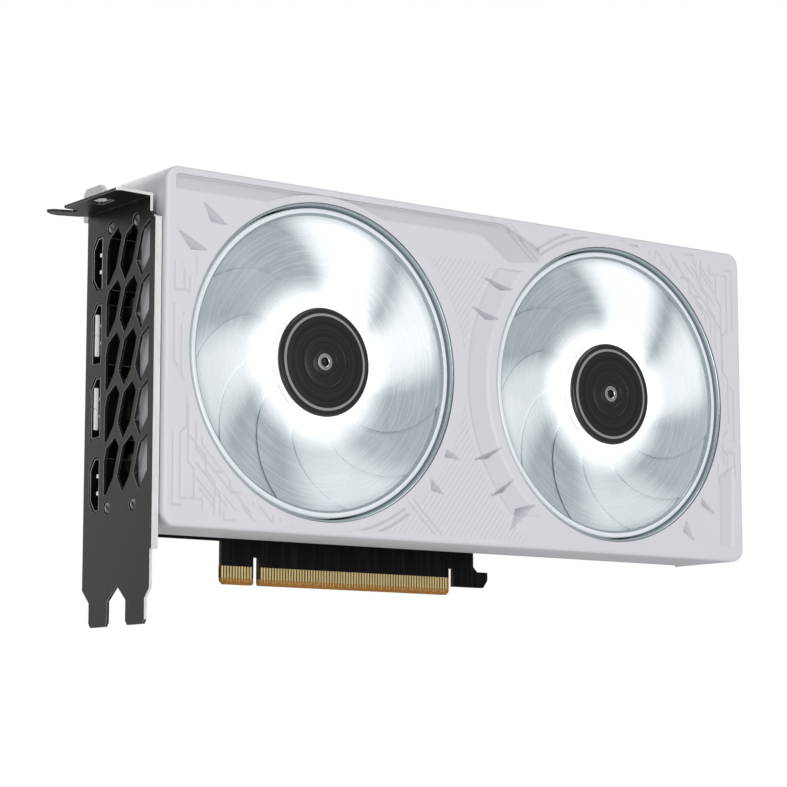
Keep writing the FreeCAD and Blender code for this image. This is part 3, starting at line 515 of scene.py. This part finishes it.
def segment_distance(x, z, a, b):
    """Distance from the straight piece between a and b."""
    ax, az, bx, bz = *a, *b
    dx, dz = bx - ax, bz - az
    share = np.clip(((x - ax) * dx + (z - az) * dz) / (dx * dx + dz * dz), 0, 1)
    return np.hypot(x - ax - share * dx, z - az - share * dz)


def from_line(x, z, points):
    """Distance from a line through points."""
    nearest = np.full_like(x, FAR)
    for a, b in zip(points, points[1:]):
        nearest = np.minimum(nearest, segment_distance(x, z, a, b))
    return nearest


def line_depth(x, z, points, half, deep):
    """Depth of a fine groove that follows points."""
    return deep * np.clip((half + 0.3 - from_line(x, z, points)) / 0.6, 0, 1)


def dent(x, z, tip, heel, tail, deep=1.1):
    """A three-cornered dent, deepest at the heel and running out to the two other corners."""
    (ax, az), (bx, bz), (cx, cz) = tip, heel, tail
    area = (bx - ax) * (cz - az) - (cx - ax) * (bz - az)
    at_heel = ((x - ax) * (cz - az) - (cx - ax) * (z - az)) / area
    at_tail = ((bx - ax) * (z - az) - (x - ax) * (bz - az)) / area
    at_tip = 1 - at_heel - at_tail
    inside = np.minimum(np.minimum(at_heel, at_tail), at_tip)
    return deep * np.clip(inside / 0.04, 0, 1) * np.clip(0.75 * at_heel + 0.5, 0, 1)


# Places on the shroud's face are (x, z) from its left bottom corner, in millimetres.
DENTS = (
    ((12.2, 92.3), (14.6, 86.5), (20.6, 86.0)), ((3.8, 83.1), (8.2, 77.8), (14.1, 78.0)),
    ((111.7, 81.9), (119.2, 78.4), (124.8, 79.0)), ((107.4, 72.4), (113.7, 68.7), (119.2, 69.3)),
    ((98.2, 28.1), (97.3, 25.8), (103.5, 25.2)), ((91.7, 19.3), (92.5, 15.4), (97.3, 14.5)),
    ((108.0, 25.5), (113.8, 26.3), (119.7, 30.3)), ((114.1, 14.8), (119.6, 16.5), (124.6, 21.1)),
    ((122.0, 4.8), (124.6, 11.9), (132.6, 13.7)), ((200.6, 20.1), (201.0, 17.4), (207.1, 14.6)),
    ((194.3, 12.1), (192.8, 8.6), (197.9, 5.7)),
)
# Circuit-like grooves of one corner: each starts at a place and goes on by steps.
TRACES = (
    ((3.2, 26), (0, -20), (3, 0)), ((5.6, 56), (0, -14), (2, -2), (0, -12), (-2, -2), (0, -14)),
    ((3.2, 62), (0, -16), (1.4, -1.4)), ((8.2, 48), (0, -30), (2, -2), (0, -8)),
    ((5.6, 22), (0, -14), (2.5, 0)), ((10.8, 34), (0, -12), (6, -6), (4, 0)),
    ((12.8, 30), (0, -7), (5, -5), (5, 0), (0, 4)), ((15.2, 27), (0, -5), (4, -4), (0, 6)),
    ((10.8, 18), (8, -8), (0, -6)), ((10.8, 14), (6, -6), (0, -4)), ((13.5, 19.5), (9, -9), (3, 0)),
    ((22, 18), (0, -6), (7, -7)), ((25, 14), (8, -8)), ((28, 13), (3, -3), (6, 0)),
    ((34, 9), (0, -4), (2, -2)), ((36.5, 8), (0, -5)), ((39, 7.5), (0, -4)), ((42, 6), (5, 0)),
    ((3.2, 74), (0, -8), (3, 0)), ((6.4, 72), (0, -5), (3, -3)), ((3.2, 66), (2.6, 0)),
    ((17.5, 10), (3.5, -3.5)), ((20, 9.5), (4, -4)), ((31, 8.5), (2.4, -2.4)),
    ((8, 30), (0, -4), (6, -6), (0, -5)), ((16, 20), (6, -6)), ((19, 20), (3, -3)), ((33, 6), (3, -3)),
    ((14, 16), (3, -3), (0, -6)), ((26, 7), (4, -4)), ((30, 12), (0, -5)), ((20, 5), (0, -2.4), (4, 0)),
    ((9, 8), (4, 0), (0, -3)), ((12, 11), (5, -5)), ((8.2, 70), (0, -9), (-2, -2)), ((10.4, 76), (0, -6)),
)


def trace_points(trace, flipped):
    """A groove's corner points; flipped puts it in the opposite corner of the face."""
    x, z = trace[0]
    points = [(x, z)]
    for dx, dz in trace[1:]:
        x, z = x + dx, z + dz
        points.append((x, z))
    if flipped:
        return [(RIGHT - px, TOP - pz) for px, pz in points]
    return [(LEFT + px, BOTTOM + pz) for px, pz in points]


def inside_of(x, z, corners):
    """Distance inwards from a closed outline; negative outside it."""
    nearest, crossings = np.full_like(x, FAR), np.zeros(x.shape, int)
    for (ax, az), (bx, bz) in zip(corners, corners[1:] + corners[:1]):
        nearest = np.minimum(nearest, segment_distance(x, z, (ax, az), (bx, bz)))
        if az != bz:
            crossings += ((az > z) != (bz > z)) & (x < ax + (z - az) * (bx - ax) / (bz - az))
    return np.where(crossings % 2 == 1, nearest, -nearest)


def sloping_band(x, z, left_r):
    """The band under the top edge: deepest at its rim, rising to the face at its inner line."""
    rim = [(LEFT + 3, TOP - 1.3), (LEFT + 118.1, TOP - 1.3), (LEFT + 134.7, TOP - 8.2)]
    inner = [(LEFT + 3, TOP - 6.8), (LEFT + 111.7, TOP - 6.8),
             (LEFT + 122.7, TOP - 14.2), (LEFT + 134.7, TOP - 12.8)]
    room = inside_of(x, z, rim + inner[::-1])
    to_rim, to_inner = from_line(x, z, rim), from_line(x, z, inner)
    slope = to_inner / np.maximum(to_rim + to_inner, 0.01)
    return (0.12 + 1.2 * slope) * np.clip(room / 0.5, 0, 1) * np.clip((left_r - 48.6) / 0.5, 0, 1)


def arcs(x, z, centre, radius, start, end):
    """A groove that follows part of a circle, with start and end in degrees."""
    angle = np.degrees(np.arctan2(z - centre[1], x - centre[0])) % 360
    reach = np.hypot(x - centre[0], z - centre[1])
    return np.clip((0.55 - np.abs(reach - radius)) / 0.35, 0, 1) * ((angle > start) & (angle < end))


def face_depth(x, z):
    """How far the shroud's face lies behind its rim in millimetres, and how much painted shade darkens its
    hollows.
    """
    left_r = np.hypot(x - FANS["left"][0], z - FANS["left"][1])
    right_r = np.hypot(x - FANS["right"][0], z - FANS["right"][1])
    clear = np.clip((np.minimum(left_r, right_r) - 48.4) / 0.5, 0, 1)
    band = sloping_band(x, z, left_r)
    dents = 0 * x
    for corners in DENTS:
        dents = dents + dent(x, z, *[(LEFT + cx, BOTTOM + cz) for cx, cz in corners])
    crescent = np.clip((57.5 - right_r) / 0.8, 0, 1) * np.clip((right_r - 49.5) / 0.6, 0, 1)
    crescent = crescent * np.clip((FANS["right"][0] - 24 - x) / 0.6, 0, 1)
    crescent = crescent * (z > BOTTOM + 10) * (z < TOP - 16)
    corner_strip = inside_of(x, z, [(RIGHT - 10.2, BOTTOM + 4.6), (RIGHT - 4.4, BOTTOM + 4.6),
                                    (RIGHT - 3.6, BOTTOM + 31), (RIGHT - 10.2, BOTTOM + 27)])
    strip = np.clip(corner_strip / 0.5, 0, 1)
    crease = line_depth(x, z, [(RIGHT - 10.2, BOTTOM + 27.5), (RIGHT - 2, BOTTOM + 31.4)], 0.1, 0.3)
    middle = np.clip((left_r - 51.0) / 0.6, 0, 1) * np.clip((right_r - 58.5) / 0.6, 0, 1)
    middle = middle * (x > LEFT + 74) * (x < FANS["right"][0]) * (z < TOP - 15) * (z > BOTTOM + 2)
    stripes = middle * (0.5 + 0.5 * np.cos(2 * math.pi * (x * 0.80 - z * 0.60) / 1.5))
    lines = 0 * x
    for flipped in (False, True):
        for trace in TRACES:
            lines = np.maximum(lines, line_depth(x, z, trace_points(trace, flipped), 0.18, 1.0))
    for radius in (49.8, 51.8):
        lines = np.maximum(lines, arcs(x, z, FANS["left"], radius, 256, 305))
        lines = np.maximum(lines, arcs(x, z, FANS["right"], radius, 76, 125))
    for shift in (0, 2.6):
        low = [(FANS["left"][0] + 29 + shift, BOTTOM + 12.2), (FANS["left"][0] + 41 + shift, BOTTOM + 1)]
        high = [(FANS["right"][0] - 29 - shift, TOP - 12.2), (FANS["right"][0] - 41 - shift, TOP - 1)]
        for corners in (low, high):
            lines = np.maximum(lines, line_depth(x, z, corners, 0.18, 1.0))
    lines = lines * clear
    depth = band + dents + 0.45 * crescent + 0.5 * strip + crease + 0.16 * stripes + 0.30 * lines
    # painted shade: the band, dents, crescent, corner strip, crease, stripes and grooves are darkened in
    # colour
    dark = 0.25 * np.clip(band / 0.12, 0, 1) + 0.60 * dents + 0.10 * crescent + 0.10 * strip + 0.7 * crease
    dark = dark + 0.10 * stripes + 0.42 * lines
    return np.clip(depth, 0, 1.65), np.clip(dark, 0, 1)


def rounded_inside(x, z, inset):
    """Distance inwards from the shroud's rounded outline, inset by some millimetres."""
    radius = CORNER - inset
    half_x, half_z = (RIGHT - LEFT) / 2 - inset - radius, (TOP - BOTTOM) / 2 - inset - radius
    qx, qz = np.abs(x - (LEFT + RIGHT) / 2) - half_x, np.abs(z - (TOP + BOTTOM) / 2) - half_z
    outside = np.hypot(np.maximum(qx, 0), np.maximum(qz, 0))
    return radius - outside - np.minimum(np.maximum(qx, qz), 0)


def face_room(x, z, inset):
    """Positive inside the face, which has a rounded outline and two round openings."""
    room = rounded_inside(x, z, inset)
    for cx, cz in FANS.values():
        room = np.minimum(room, np.hypot(x - cx, z - cz) - OPENING)
    return room


def face_sheet(step, inset, depth_at):
    """A grid over the face, snapped to its outline and openings, at forward = depth_at(x, z)."""
    xs = np.arange(LEFT + inset - step, RIGHT - inset + 2 * step, step)
    zs = np.arange(BOTTOM + inset - step, TOP - inset + 2 * step, step)
    x, z = np.meshgrid(xs, zs)
    for _ in range(2):
        room = face_room(x, z, inset)
        small = 0.01
        gx = (face_room(x + small, z, inset) - face_room(x - small, z, inset)) / (2 * small)
        gz = (face_room(x, z + small, inset) - face_room(x, z - small, inset)) / (2 * small)
        near = np.abs(room) < 0.52 * step
        x, z = np.where(near, x - room * gx, x), np.where(near, z - room * gz, z)
    inside = face_room(x, z, inset) > -0.02 * step
    number = -np.ones(x.shape, int)
    number[inside] = np.arange(inside.sum())
    forward = depth_at(x, z)
    vertices = np.stack([x[inside], forward[inside], z[inside]], 1).tolist()
    quads = np.stack([number[:-1, :-1], number[:-1, 1:], number[1:, 1:], number[1:, :-1]], -1).reshape(-1, 4)
    whole = quads[(quads >= 0).all(1)]
    faces = [tuple(quad) for quad in whole.tolist()]
    three = quads[(quads >= 0).sum(1) == 3]
    faces += [tuple(i for i in quad if i >= 0) for quad in three.tolist()]
    return vertices, faces, [0] * len(faces)


def outline_points(inset):
    """Points round the shroud with their outward normals, closer together where the rear edge steps."""
    low_x, high_x, low_z, high_z = LEFT + CORNER, RIGHT - CORNER, BOTTOM + CORNER, TOP - CORNER

    def straight(start, end, stops=()):
        return sorted({start, end, *[s + d for s in stops for d in (-0.02, 0.02)]}, reverse=start > end)

    points = [(RIGHT, z, 1, 0) for z in straight(low_z, high_z)]
    points += arc(high_x, high_z, CORNER, 0)
    points += [(x, TOP, 0, 1) for x in straight(high_x, low_x, GATE)]
    points += arc(low_x, high_z, CORNER, 90)
    points += [(LEFT, z, -1, 0) for z in straight(high_z, low_z, WINDOW)]
    points += arc(low_x, low_z, CORNER, 180)
    points += [(x, BOTTOM, 0, -1) for x in straight(low_x, high_x)]
    points += arc(high_x, low_z, CORNER, 270)
    return [(x - inset * nx, z - inset * nz, nx, nz) for x, z, nx, nz in points]


def arc(cx, cz, radius, start, steps=10):
    """Points and outward normals of a quarter circle from start degrees, without its two ends."""
    points = []
    for i in range(1, steps):
        angle = math.radians(start + 90 * i / steps)
        nx, nz = math.cos(angle), math.sin(angle)
        points.append((cx + radius * nx, cz + radius * nz, nx, nz))
    return points


def rear_edge(x, z, nx, nz):
    """Depth of the shroud's rear edge at a point of its outline."""
    if nz < -0.99:
        return FLOOR_REAR
    if nx < -0.99 and WINDOW[0] < z < WINDOW[1]:
        return WINDOW_REAR
    if nz > 0.99 and GATE[0] < x < GATE[1]:
        return GATE_REAR
    return BACK


def shroud_walls():
    """The rounded rim and the four walls, swept round the outline."""
    profile = [(2.2, -0.08), (RIM, 0.0), (0.95, -0.03), (0.5, -0.18), (0.18, -0.5), (0.03, -0.95), (0, -1.5)]
    rings = []
    around = outline_points(0)
    for inset, rise in profile:
        rings.append([(x - inset * nx, FRONT + rise, z - inset * nz) for x, z, nx, nz in around])
    rings.append([(x, rear_edge(x, z, nx, nz) + 0.3, z) for x, z, nx, nz in around])
    rings.append([(x - 0.3 * nx, rear_edge(x, z, nx, nz), z - 0.3 * nz) for x, z, nx, nz in around])
    rings.append([(x - WALL * nx, rear_edge(x, z, nx, nz), z - WALL * nz) for x, z, nx, nz in around])
    rings.append([(x - WALL * nx, FRONT - WALL, z - WALL * nz) for x, z, nx, nz in around])
    count = len(around)
    vertices = [point for ring in rings for point in ring]
    faces, marks = [], []
    for j in range(len(rings) - 1):
        for i in range(count):
            following = (i + 1) % count
            faces.append((j * count + i, j * count + following,
                          (j + 1) * count + following, (j + 1) * count + i))
            marks.append(1 if j == len(rings) - 2 else 0)
    return vertices, faces, marks


def shroud(looks):
    def front_face(x, z):
        return FRONT - face_depth(x, z)[0] * np.clip(rounded_inside(x, z, RIM) / 0.8, 0, 1)

    parts = ([], [], [])
    append(parts, face_sheet(CELL, RIM, front_face))
    shown = np.array(parts[0])
    back = face_sheet(2.0, WALL, lambda x, z: FRONT - WALL + 0 * x)
    append(parts, (back[0], back[1], [1] * len(back[1])))
    append(parts, shroud_walls())
    # painted shade of the hollows, stored per vertex for the shroud's material
    hollow = np.zeros(len(parts[0]))
    hollow[:len(shown)] = face_depth(shown[:, 0], shown[:, 2])[1]
    mesh = to_mesh("shroud_cover", *parts, smooth_angle=50)
    mark_painted_shade(mesh, hollow)
    make("shroud_cover", mesh, "card", ("fan_shroud",),
         (looks["shroud"], looks["shroud_inside"]))


# ------------------------------------------------------------------ fans
def bezel(side, looks):
    """Blue-grey liner of a fan opening with a chamfered lip painted lighter as a highlight and a dark seam
    round it.
    """
    outer = OPENING - 0.03
    inner, rear = outer - 0.75, BEZEL_REAR
    profile = [(inner, rear), (inner, FRONT - 1.1), (inner + 0.12, FRONT - 0.75),
               (inner + 0.42, FRONT - 0.42), (outer - 0.12, FRONT - 0.32), (outer, FRONT - 0.45),
               (outer, 35.5), (outer + 1.3, 35.4), (outer + 1.3, 34.0), (outer, 33.9), (outer, rear)]
    marks = [0, 1, 1, 1, 2, 2, 2, 0, 0, 0, 0]
    mesh = to_mesh("bezel_" + side, *lathe(profile, FANS[side], marks, 192))
    make("bezel_" + side, mesh, "card", ("fan_bezel_" + side,),
         (looks["bezel"], looks["bezel_lip_painted_highlight"], looks["seam"]))


BLADES = 11
HUB_RADIUS, HUB_FRONT = 15.2, 32.9
HUB_ROOF = HUB_FRONT - 1.1
BEZEL_REAR = 28.0


def blade(centre, turn, hub, rim, front, rear):
    """A wide swept blade as a closed thin sheet; its leading edge goes from rear to front along the blade."""
    along, across = 14, 12
    span = math.radians(360 / BLADES * 1.42)
    vertices, faces = [], []
    for side in (0, 1):
        for i in range(along + 1):
            s = i / along
            radius = hub + s * (rim - hub)
            sweep = 0.42 * s + 0.34 * s * s
            for j in range(across + 1):
                t = j / across
                angle = turn + sweep + (t - 0.5) * span
                lead = rear + (front - rear) * s
                forward = lead - 1.2 * t + 0.2 * math.sin(math.pi * t)
                thick = 0.15 + 0.3 * math.sin(math.pi * min(max(t, 0.04), 0.96))
                vertices.append((centre[0] + radius * math.cos(angle), forward - side * thick,
                                 centre[1] + radius * math.sin(angle)))
    wide, half = across + 1, (along + 1) * (across + 1)
    for i in range(along):
        for j in range(across):
            a, b = i * wide + j, i * wide + j + 1
            c, d = b + wide, a + wide
            faces.append((a, b, c, d))
            faces.append((half + d, half + c, half + b, half + a))
    border = list(range(wide)) + [i * wide + across for i in range(1, along + 1)]
    border += [along * wide + j for j in range(across - 1, -1, -1)]
    border += [i * wide for i in range(along - 1, 0, -1)]
    for a, b in zip(border, border[1:] + border[:1]):
        faces.append((b, a, a + half, b + half))
    return vertices, faces, [0] * len(faces)


def impeller(side, looks):
    """Hub cup, swept blades and outer ring."""
    node = "impeller_" + side
    low, high = limits(node)
    centre = FANS[side]
    ring_outer, front, rear = (high.x - low.x) / 2 - 0.02, -low.y - 0.02, -high.y
    ring_inner, hub = ring_outer - 2.3, HUB_RADIUS
    parts = ([], [], [])
    cup = [(hub - 1.2, rear), (hub, rear), (hub, HUB_FRONT - 0.7), (hub - 0.5, HUB_FRONT), (2.0, HUB_FRONT),
           (2.0, HUB_ROOF), (hub - 1.2, HUB_ROOF)]
    append(parts, lathe(cup, centre, [0] * 7, 96))
    rim = [(ring_inner, 27.2), (ring_inner + 0.15, front - 1.0), (ring_inner + 0.3, front - 0.7),
           (ring_inner + 0.75, front - 0.5), (ring_inner + 0.9, front - 0.1), (ring_inner + 1.2, front),
           (ring_outer - 0.35, front), (ring_outer, front - 0.35), (ring_outer, 26.7),
           (ring_outer - 0.3, 26.5), (ring_inner + 0.3, 26.6)]
    append(parts, lathe(rim, centre, [0, 2, 2, 2, 1, 1, 1, 1, 1, 1, 0], 192))
    for i in range(BLADES):
        turn = 2 * math.pi * i / BLADES
        append(parts, blade(centre, turn, hub - 0.2, ring_inner + 0.25, front - 1.0, HUB_FRONT - 0.2))
    mesh = to_mesh("fan_rotor_" + side, *parts, smooth_angle=50)
    pearl = blade_finish("blade_" + side, (centre[0] * MM, centre[1] * MM))
    # the white ring takes a finish with a painted glow
    make("fan_rotor_" + side, mesh, side + "_rotor", (node,),
         # the ring's inner lip takes the painted highlight finish
         (pearl, looks["ring_white_painted_glow"], looks["bezel_lip_painted_highlight"]))


def hub_cap(side):
    """Dark cap: rounded rim, grey ring, turned face and a bright ring round a small hollow."""
    low, high = limits("hub_cap_" + side)
    front, rear = -low.y, -high.y
    outer = (high.x - low.x) / 2
    centre = FANS[side]
    metres = (centre[0] * MM, centre[1] * MM)
    steps = [(outer - 0.4, rear, 4), (outer - 0.25, rear + 0.3, 4), (outer - 0.2, front - 1.2, 0),
             (outer, front - 1.1, 0), (outer, front - 0.6, 0), (outer - 0.2, front - 0.3, 0),
             (outer - 0.6, front - 0.06, 0), (14.25, front - 0.06, 0), (14.15, front - 0.2, 1),
             (13.5, front - 0.2, 1), (13.4, front - 0.1, 0), (13.2, front - 0.05, 2), (7.3, front - 0.05, 2),
             (7.15, front - 0.16, 2), (6.9, front - 0.05, 2), (4.3, front - 0.05, 2), (4.1, front - 0.18, 2),
             (3.8, front - 0.05, 2), (2.45, front - 0.05, 3), (2.3, front, 3), (1.5, front, 3),
             (1.35, front - 0.1, 0), (1.25, front - 1.2, 0), (0.02, front - 1.25, 0), (0.02, rear, 0)]
    profile = [(radius, forward) for radius, forward, _ in steps]
    marks = [mark for _, _, mark in steps]
    looks = (finish("hub_black_" + side, (0.012, 0.012, 0.012), 0.3, vary=0.2, coat=0.4),
             turned_finish("hub_ring_" + side, metres, (0.30, 0.30, 0.30), (0.42, 0.42, 0.42), 0.4, 0.3),
             turned_finish("hub_face_" + side, metres, (0.012, 0.012, 0.012), (0.034, 0.034, 0.034), 0.34,
                           0.4),
             turned_finish("hub_eye_" + side, metres, (0.45, 0.45, 0.45), (0.7, 0.7, 0.7), 0.25, 0.9),
             # painted glow: the cap's rear side emits like lamp light
             finish("hub_side_painted_glow_" + side, (0.80, 0.84, 0.86), 0.3, vary=0.03, emission=(LAMP_COLOUR, 0.5)))
    mesh = to_mesh("cap_" + side, *lathe(profile, centre, marks, 144), smooth_angle=28)
    make("cap_" + side, mesh, side + "_rotor", ("hub_cap_" + side,), looks)


# ------------------------------------------------------------------ screws
def screw(place, way, radius, rise, shank):
    """A cross-head screw: place is the head's base, way points out of the head; all in millimetres."""
    out = Vector(way).normalized()
    side = out.orthogonal().normalized()
    other = out.cross(side)
    count = 24
    rings = [(0.55 * radius, -shank), (0.55 * radius, 0), (radius, 0), (radius, rise * 0.45),
             (radius * 0.86, rise * 0.85), (radius * 0.66, rise)]
    vertices, faces = [], []
    for r, height in rings:
        for i in range(count):
            angle = 2 * math.pi * i / count
            point = Vector(place) + out * height + (side * math.cos(angle) + other * math.sin(angle)) * r
            vertices.append((point.x, -point.y, point.z))
    for j in range(len(rings) - 1):
        for i in range(count):
            k = (i + 1) % count
            faces.append((j * count + i, j * count + k, (j + 1) * count + k, (j + 1) * count + i))
    last = (len(rings) - 1) * count
    base = len(vertices)
    for height, grow in ((rise, 1.0), (rise - min(0.7, rise * 0.7), 0.75)):
        for i in range(count):
            angle = 2 * math.pi * i / count
            arm = abs(math.cos(2 * angle)) ** 3
            r = radius * grow * (0.16 + 0.36 * arm)
            point = Vector(place) + out * height + (side * math.cos(angle) + other * math.sin(angle)) * r
            vertices.append((point.x, -point.y, point.z))
    for i in range(count):
        k = (i + 1) % count
        faces.append((last + i, last + k, base + k, base + i))
        faces.append((base + i, base + k, base + count + k, base + count + i))
    faces.append(tuple(base + count + i for i in range(count)))
    faces.append(tuple(range(count))[::-1])
    return vertices, faces, [0] * len(faces)


def screws(name, node, places, way, radius, rise, shank, look):
    """All the screws of one CAD node as one piece."""
    parts = ([], [], [])
    for place in places:
        append(parts, screw(place, way, radius, rise, shank))
    mesh = to_mesh(name, *parts, smooth_angle=35)
    make(name, mesh, "card", (node,), (look,))


def islands(node):
    """(low, high) corners of each separate solid of a node, in millimetres."""
    bm = bmesh.new()
    bm.from_mesh(NODES[node].data)
    bmesh.ops.remove_doubles(bm, verts=bm.verts, dist=1e-6)
    left, corners = set(bm.verts), []
    while left:
        stack, seen = [next(iter(left))], []
        left.discard(stack[0])
        while stack:
            vertex = stack.pop()
            seen.append(vertex.co.copy())
            for edge in vertex.link_edges:
                other = edge.other_vert(vertex)
                if other in left:
                    left.discard(other)
                    stack.append(other)
        low = [min(point[i] for point in seen) for i in range(3)]
        high = [max(point[i] for point in seen) for i in range(3)]
        corners.append((Vector(low) / MM, Vector(high) / MM))
    bm.free()
    return sorted(corners, key=lambda pair: tuple(pair[0]))


# CAD node of each kind of screw: (axis, way out along it, head radius, head height).
SCREWS = {
    "bracket_screws": (0, -1, 1.8, 0.8), "backplate_screws": (1, 1, 2.3, 0.7),
    "retention_screws": (1, 1, 2.4, 1.4), "shroud_screws": (2, 1, 2.1, 0.8), "fan_screws": (1, 1, 2.2, 1.1),
}


def all_screws(looks):
    for node, (axis, out, radius, rise) in SCREWS.items():
        places, length = [], 0
        for low, high in islands(node):
            middle = (low + high) / 2
            end = high[axis] if out > 0 else low[axis]
            middle[axis] = end - out * rise
            length = high[axis] - low[axis] - rise
            places.append(middle)
        way = [0, 0, 0]
        way[axis] = out
        screws(node.replace("_screws", "_fixings"), node, places, way, radius, rise, length, looks["screw"])


# ------------------------------------------------------------------ bracket, ports, board and the rest
def bracket(looks):
    # painted highlights: chamfers take the light edge finish, front faces the near-white one
    finishes = looks["bracket"], looks["edge_metal_painted_highlight"], looks["front_painted_highlight"]
    item = bevelled("bracket_plate", "io_bracket", finishes, 0.2)
    # painted highlight: front-facing faces near the front take the near-white finish
    face_front = limits("io_bracket")[0].y * MM
    for polygon in item.data.polygons:
        if polygon.normal.y < -0.7 and polygon.center.y < face_front + 0.0035:
            polygon.material_index = 2


def box_part(low, high, mark=0):
    """A box between two (x, forward, z) corners."""
    (x1, w1, z1), (x2, w2, z2) = low, high
    vertices = [(x, w, z) for x in (x1, x2) for w in (w1, w2) for z in (z1, z2)]
    faces = [(0, 1, 3, 2), (4, 6, 7, 5), (0, 4, 5, 1), (2, 3, 7, 6), (0, 2, 6, 4), (1, 5, 7, 3)]
    return vertices, faces, [mark] * 6


def ports(looks):
    for name in ("hdmi_upper", "dp_upper", "dp_lower", "hdmi_lower"):
        # the shell's chamfers take the painted highlight finish
        bevelled(name + "_can", name + "_shell", (looks["shell"], looks["edge_metal_painted_highlight"]), 0.09)
        low, high = limits(name + "_tongue")
        shell_low, shell_high = limits(name + "_shell")
        near, far, mouth = -high.y, -low.y, shell_low.x
        middle = (low.z + high.z) / 2
        spot = -(shell_low.y + shell_high.y) / 2 + 0.7
        parts = ([], [], [])
        append(parts, box_part((mouth + 1.4, near, low.z), (high.x, far, high.z), 0))
        if name.startswith("hdmi"):
            for z in (middle - 2.45, middle + 2.45):
                append(parts, box_part((mouth + 0.3, spot, z - 0.5), (mouth + 1.6, spot + 1.1, z + 0.5), 1))
        else:
            for z1, z2 in ((low.z + 0.2, middle - 0.1), (middle + 0.1, high.z - 0.2)):
                append(parts, box_part((mouth + 0.35, spot - 2.3, z1), (mouth + 1.6, spot - 1.6, z2), 1))
            for z in (middle - 2.5, middle + 2.5):
                append(parts, box_part((mouth + 0.3, -shell_low.y - 1.0, z - 0.4),
                                       (mouth + 1.2, -shell_low.y - 0.4, z + 0.4), 1))
        mesh = to_mesh(name + "_blade", *parts)
        make(name + "_blade", mesh, "card", (name + "_tongue",),
             (looks["port_black"], looks["contact_white_painted_glow"]))
        back = box_part((shell_high.x - 3.0, -shell_high.y + 0.36, shell_low.z + 0.36),
                        (shell_high.x - 1.05, -shell_low.y - 0.36, shell_high.z - 0.36))
        mesh = to_mesh(name + "_insert", *back)
        make(name + "_insert", mesh, "card", (), (looks["port_black"],))


CONTACT_PITCH = 1.0
NOTCH_REACH = 1.95  # from the key notch's centre to the first contact on either side


def plating_tails(looks):
    """Thin plated lines that run from each contact finger down to the bevelled edge."""
    parts = ([], [], [])
    low, high = limits("edge_contacts")
    for start, count, step in ((-NOTCH_REACH, 11, -CONTACT_PITCH), (NOTCH_REACH, 71, CONTACT_PITCH)):
        for i in range(count):
            x = start + i * step
            reach = 1.15 if i % 3 else 0.75
            for w1, w2 in ((-high.y, -high.y + 0.04), (-low.y - 0.04, -low.y)):
                append(parts, box_part((x - 0.09, w1, low.z - reach), (x + 0.09, w2, low.z)))
    mesh = to_mesh("plating_tails", *parts)
    make("plating_tails", mesh, "card", (), (looks["gold"],))


CARRIED = {
    "edge_contacts": "gold", "gpu_package": "substrate", "gpu_die": "silicon", "memory_chips": "chip",
    "thermal_pads": "pad", "power_chokes": "choke", "power_stages": "chip", "capacitors": "can",
    "fan_headers": "socket", "power_pins": "gold", "cold_plate": "copper", "memory_plate": "black_metal",
    "heatsink_fins": "fin", "mounting_rails": "black_metal",
    "heat_pipe_1": "nickel", "heat_pipe_2": "nickel", "heat_pipe_3": "nickel", "heat_pipe_4": "nickel",
}


def carried_over(looks):
    """CAD nodes whose shape is right keep it and get a finish."""
    table = dict(CARRIED)
    for side in FANS:
        for part, look in (("bearing", "bronze"), ("shaft", "shaft"), ("magnet_ring", "magnet"),
                           ("stator", "winding"), ("led_board", "led"), ("fan_frame", "socket")):
            table[part + "_" + side] = look
    for node, look in table.items():
        mesh = NODES[node].data
        mesh.materials.clear()
        mesh.materials.append(looks[look])


def card():
    looks = materials()
    carried_over(looks)
    shroud(looks)
    for side in FANS:
        bezel(side, looks)
        impeller(side, looks)
        hub_cap(side)
    bracket(looks)
    ports(looks)
    plating_tails(looks)
    bevelled("board", "pcb", (looks["board"],), 0.08)
    bevelled("cover", "backplate", (looks["white_metal"],), 0.25)
    bevelled("inlet", "power_connector", (looks["socket"],), 0.12)
    bevelled("spring", "retention_spring", (looks["spring"],), 0.12)
    all_screws(looks)


camera()
studio()
floor()
card()
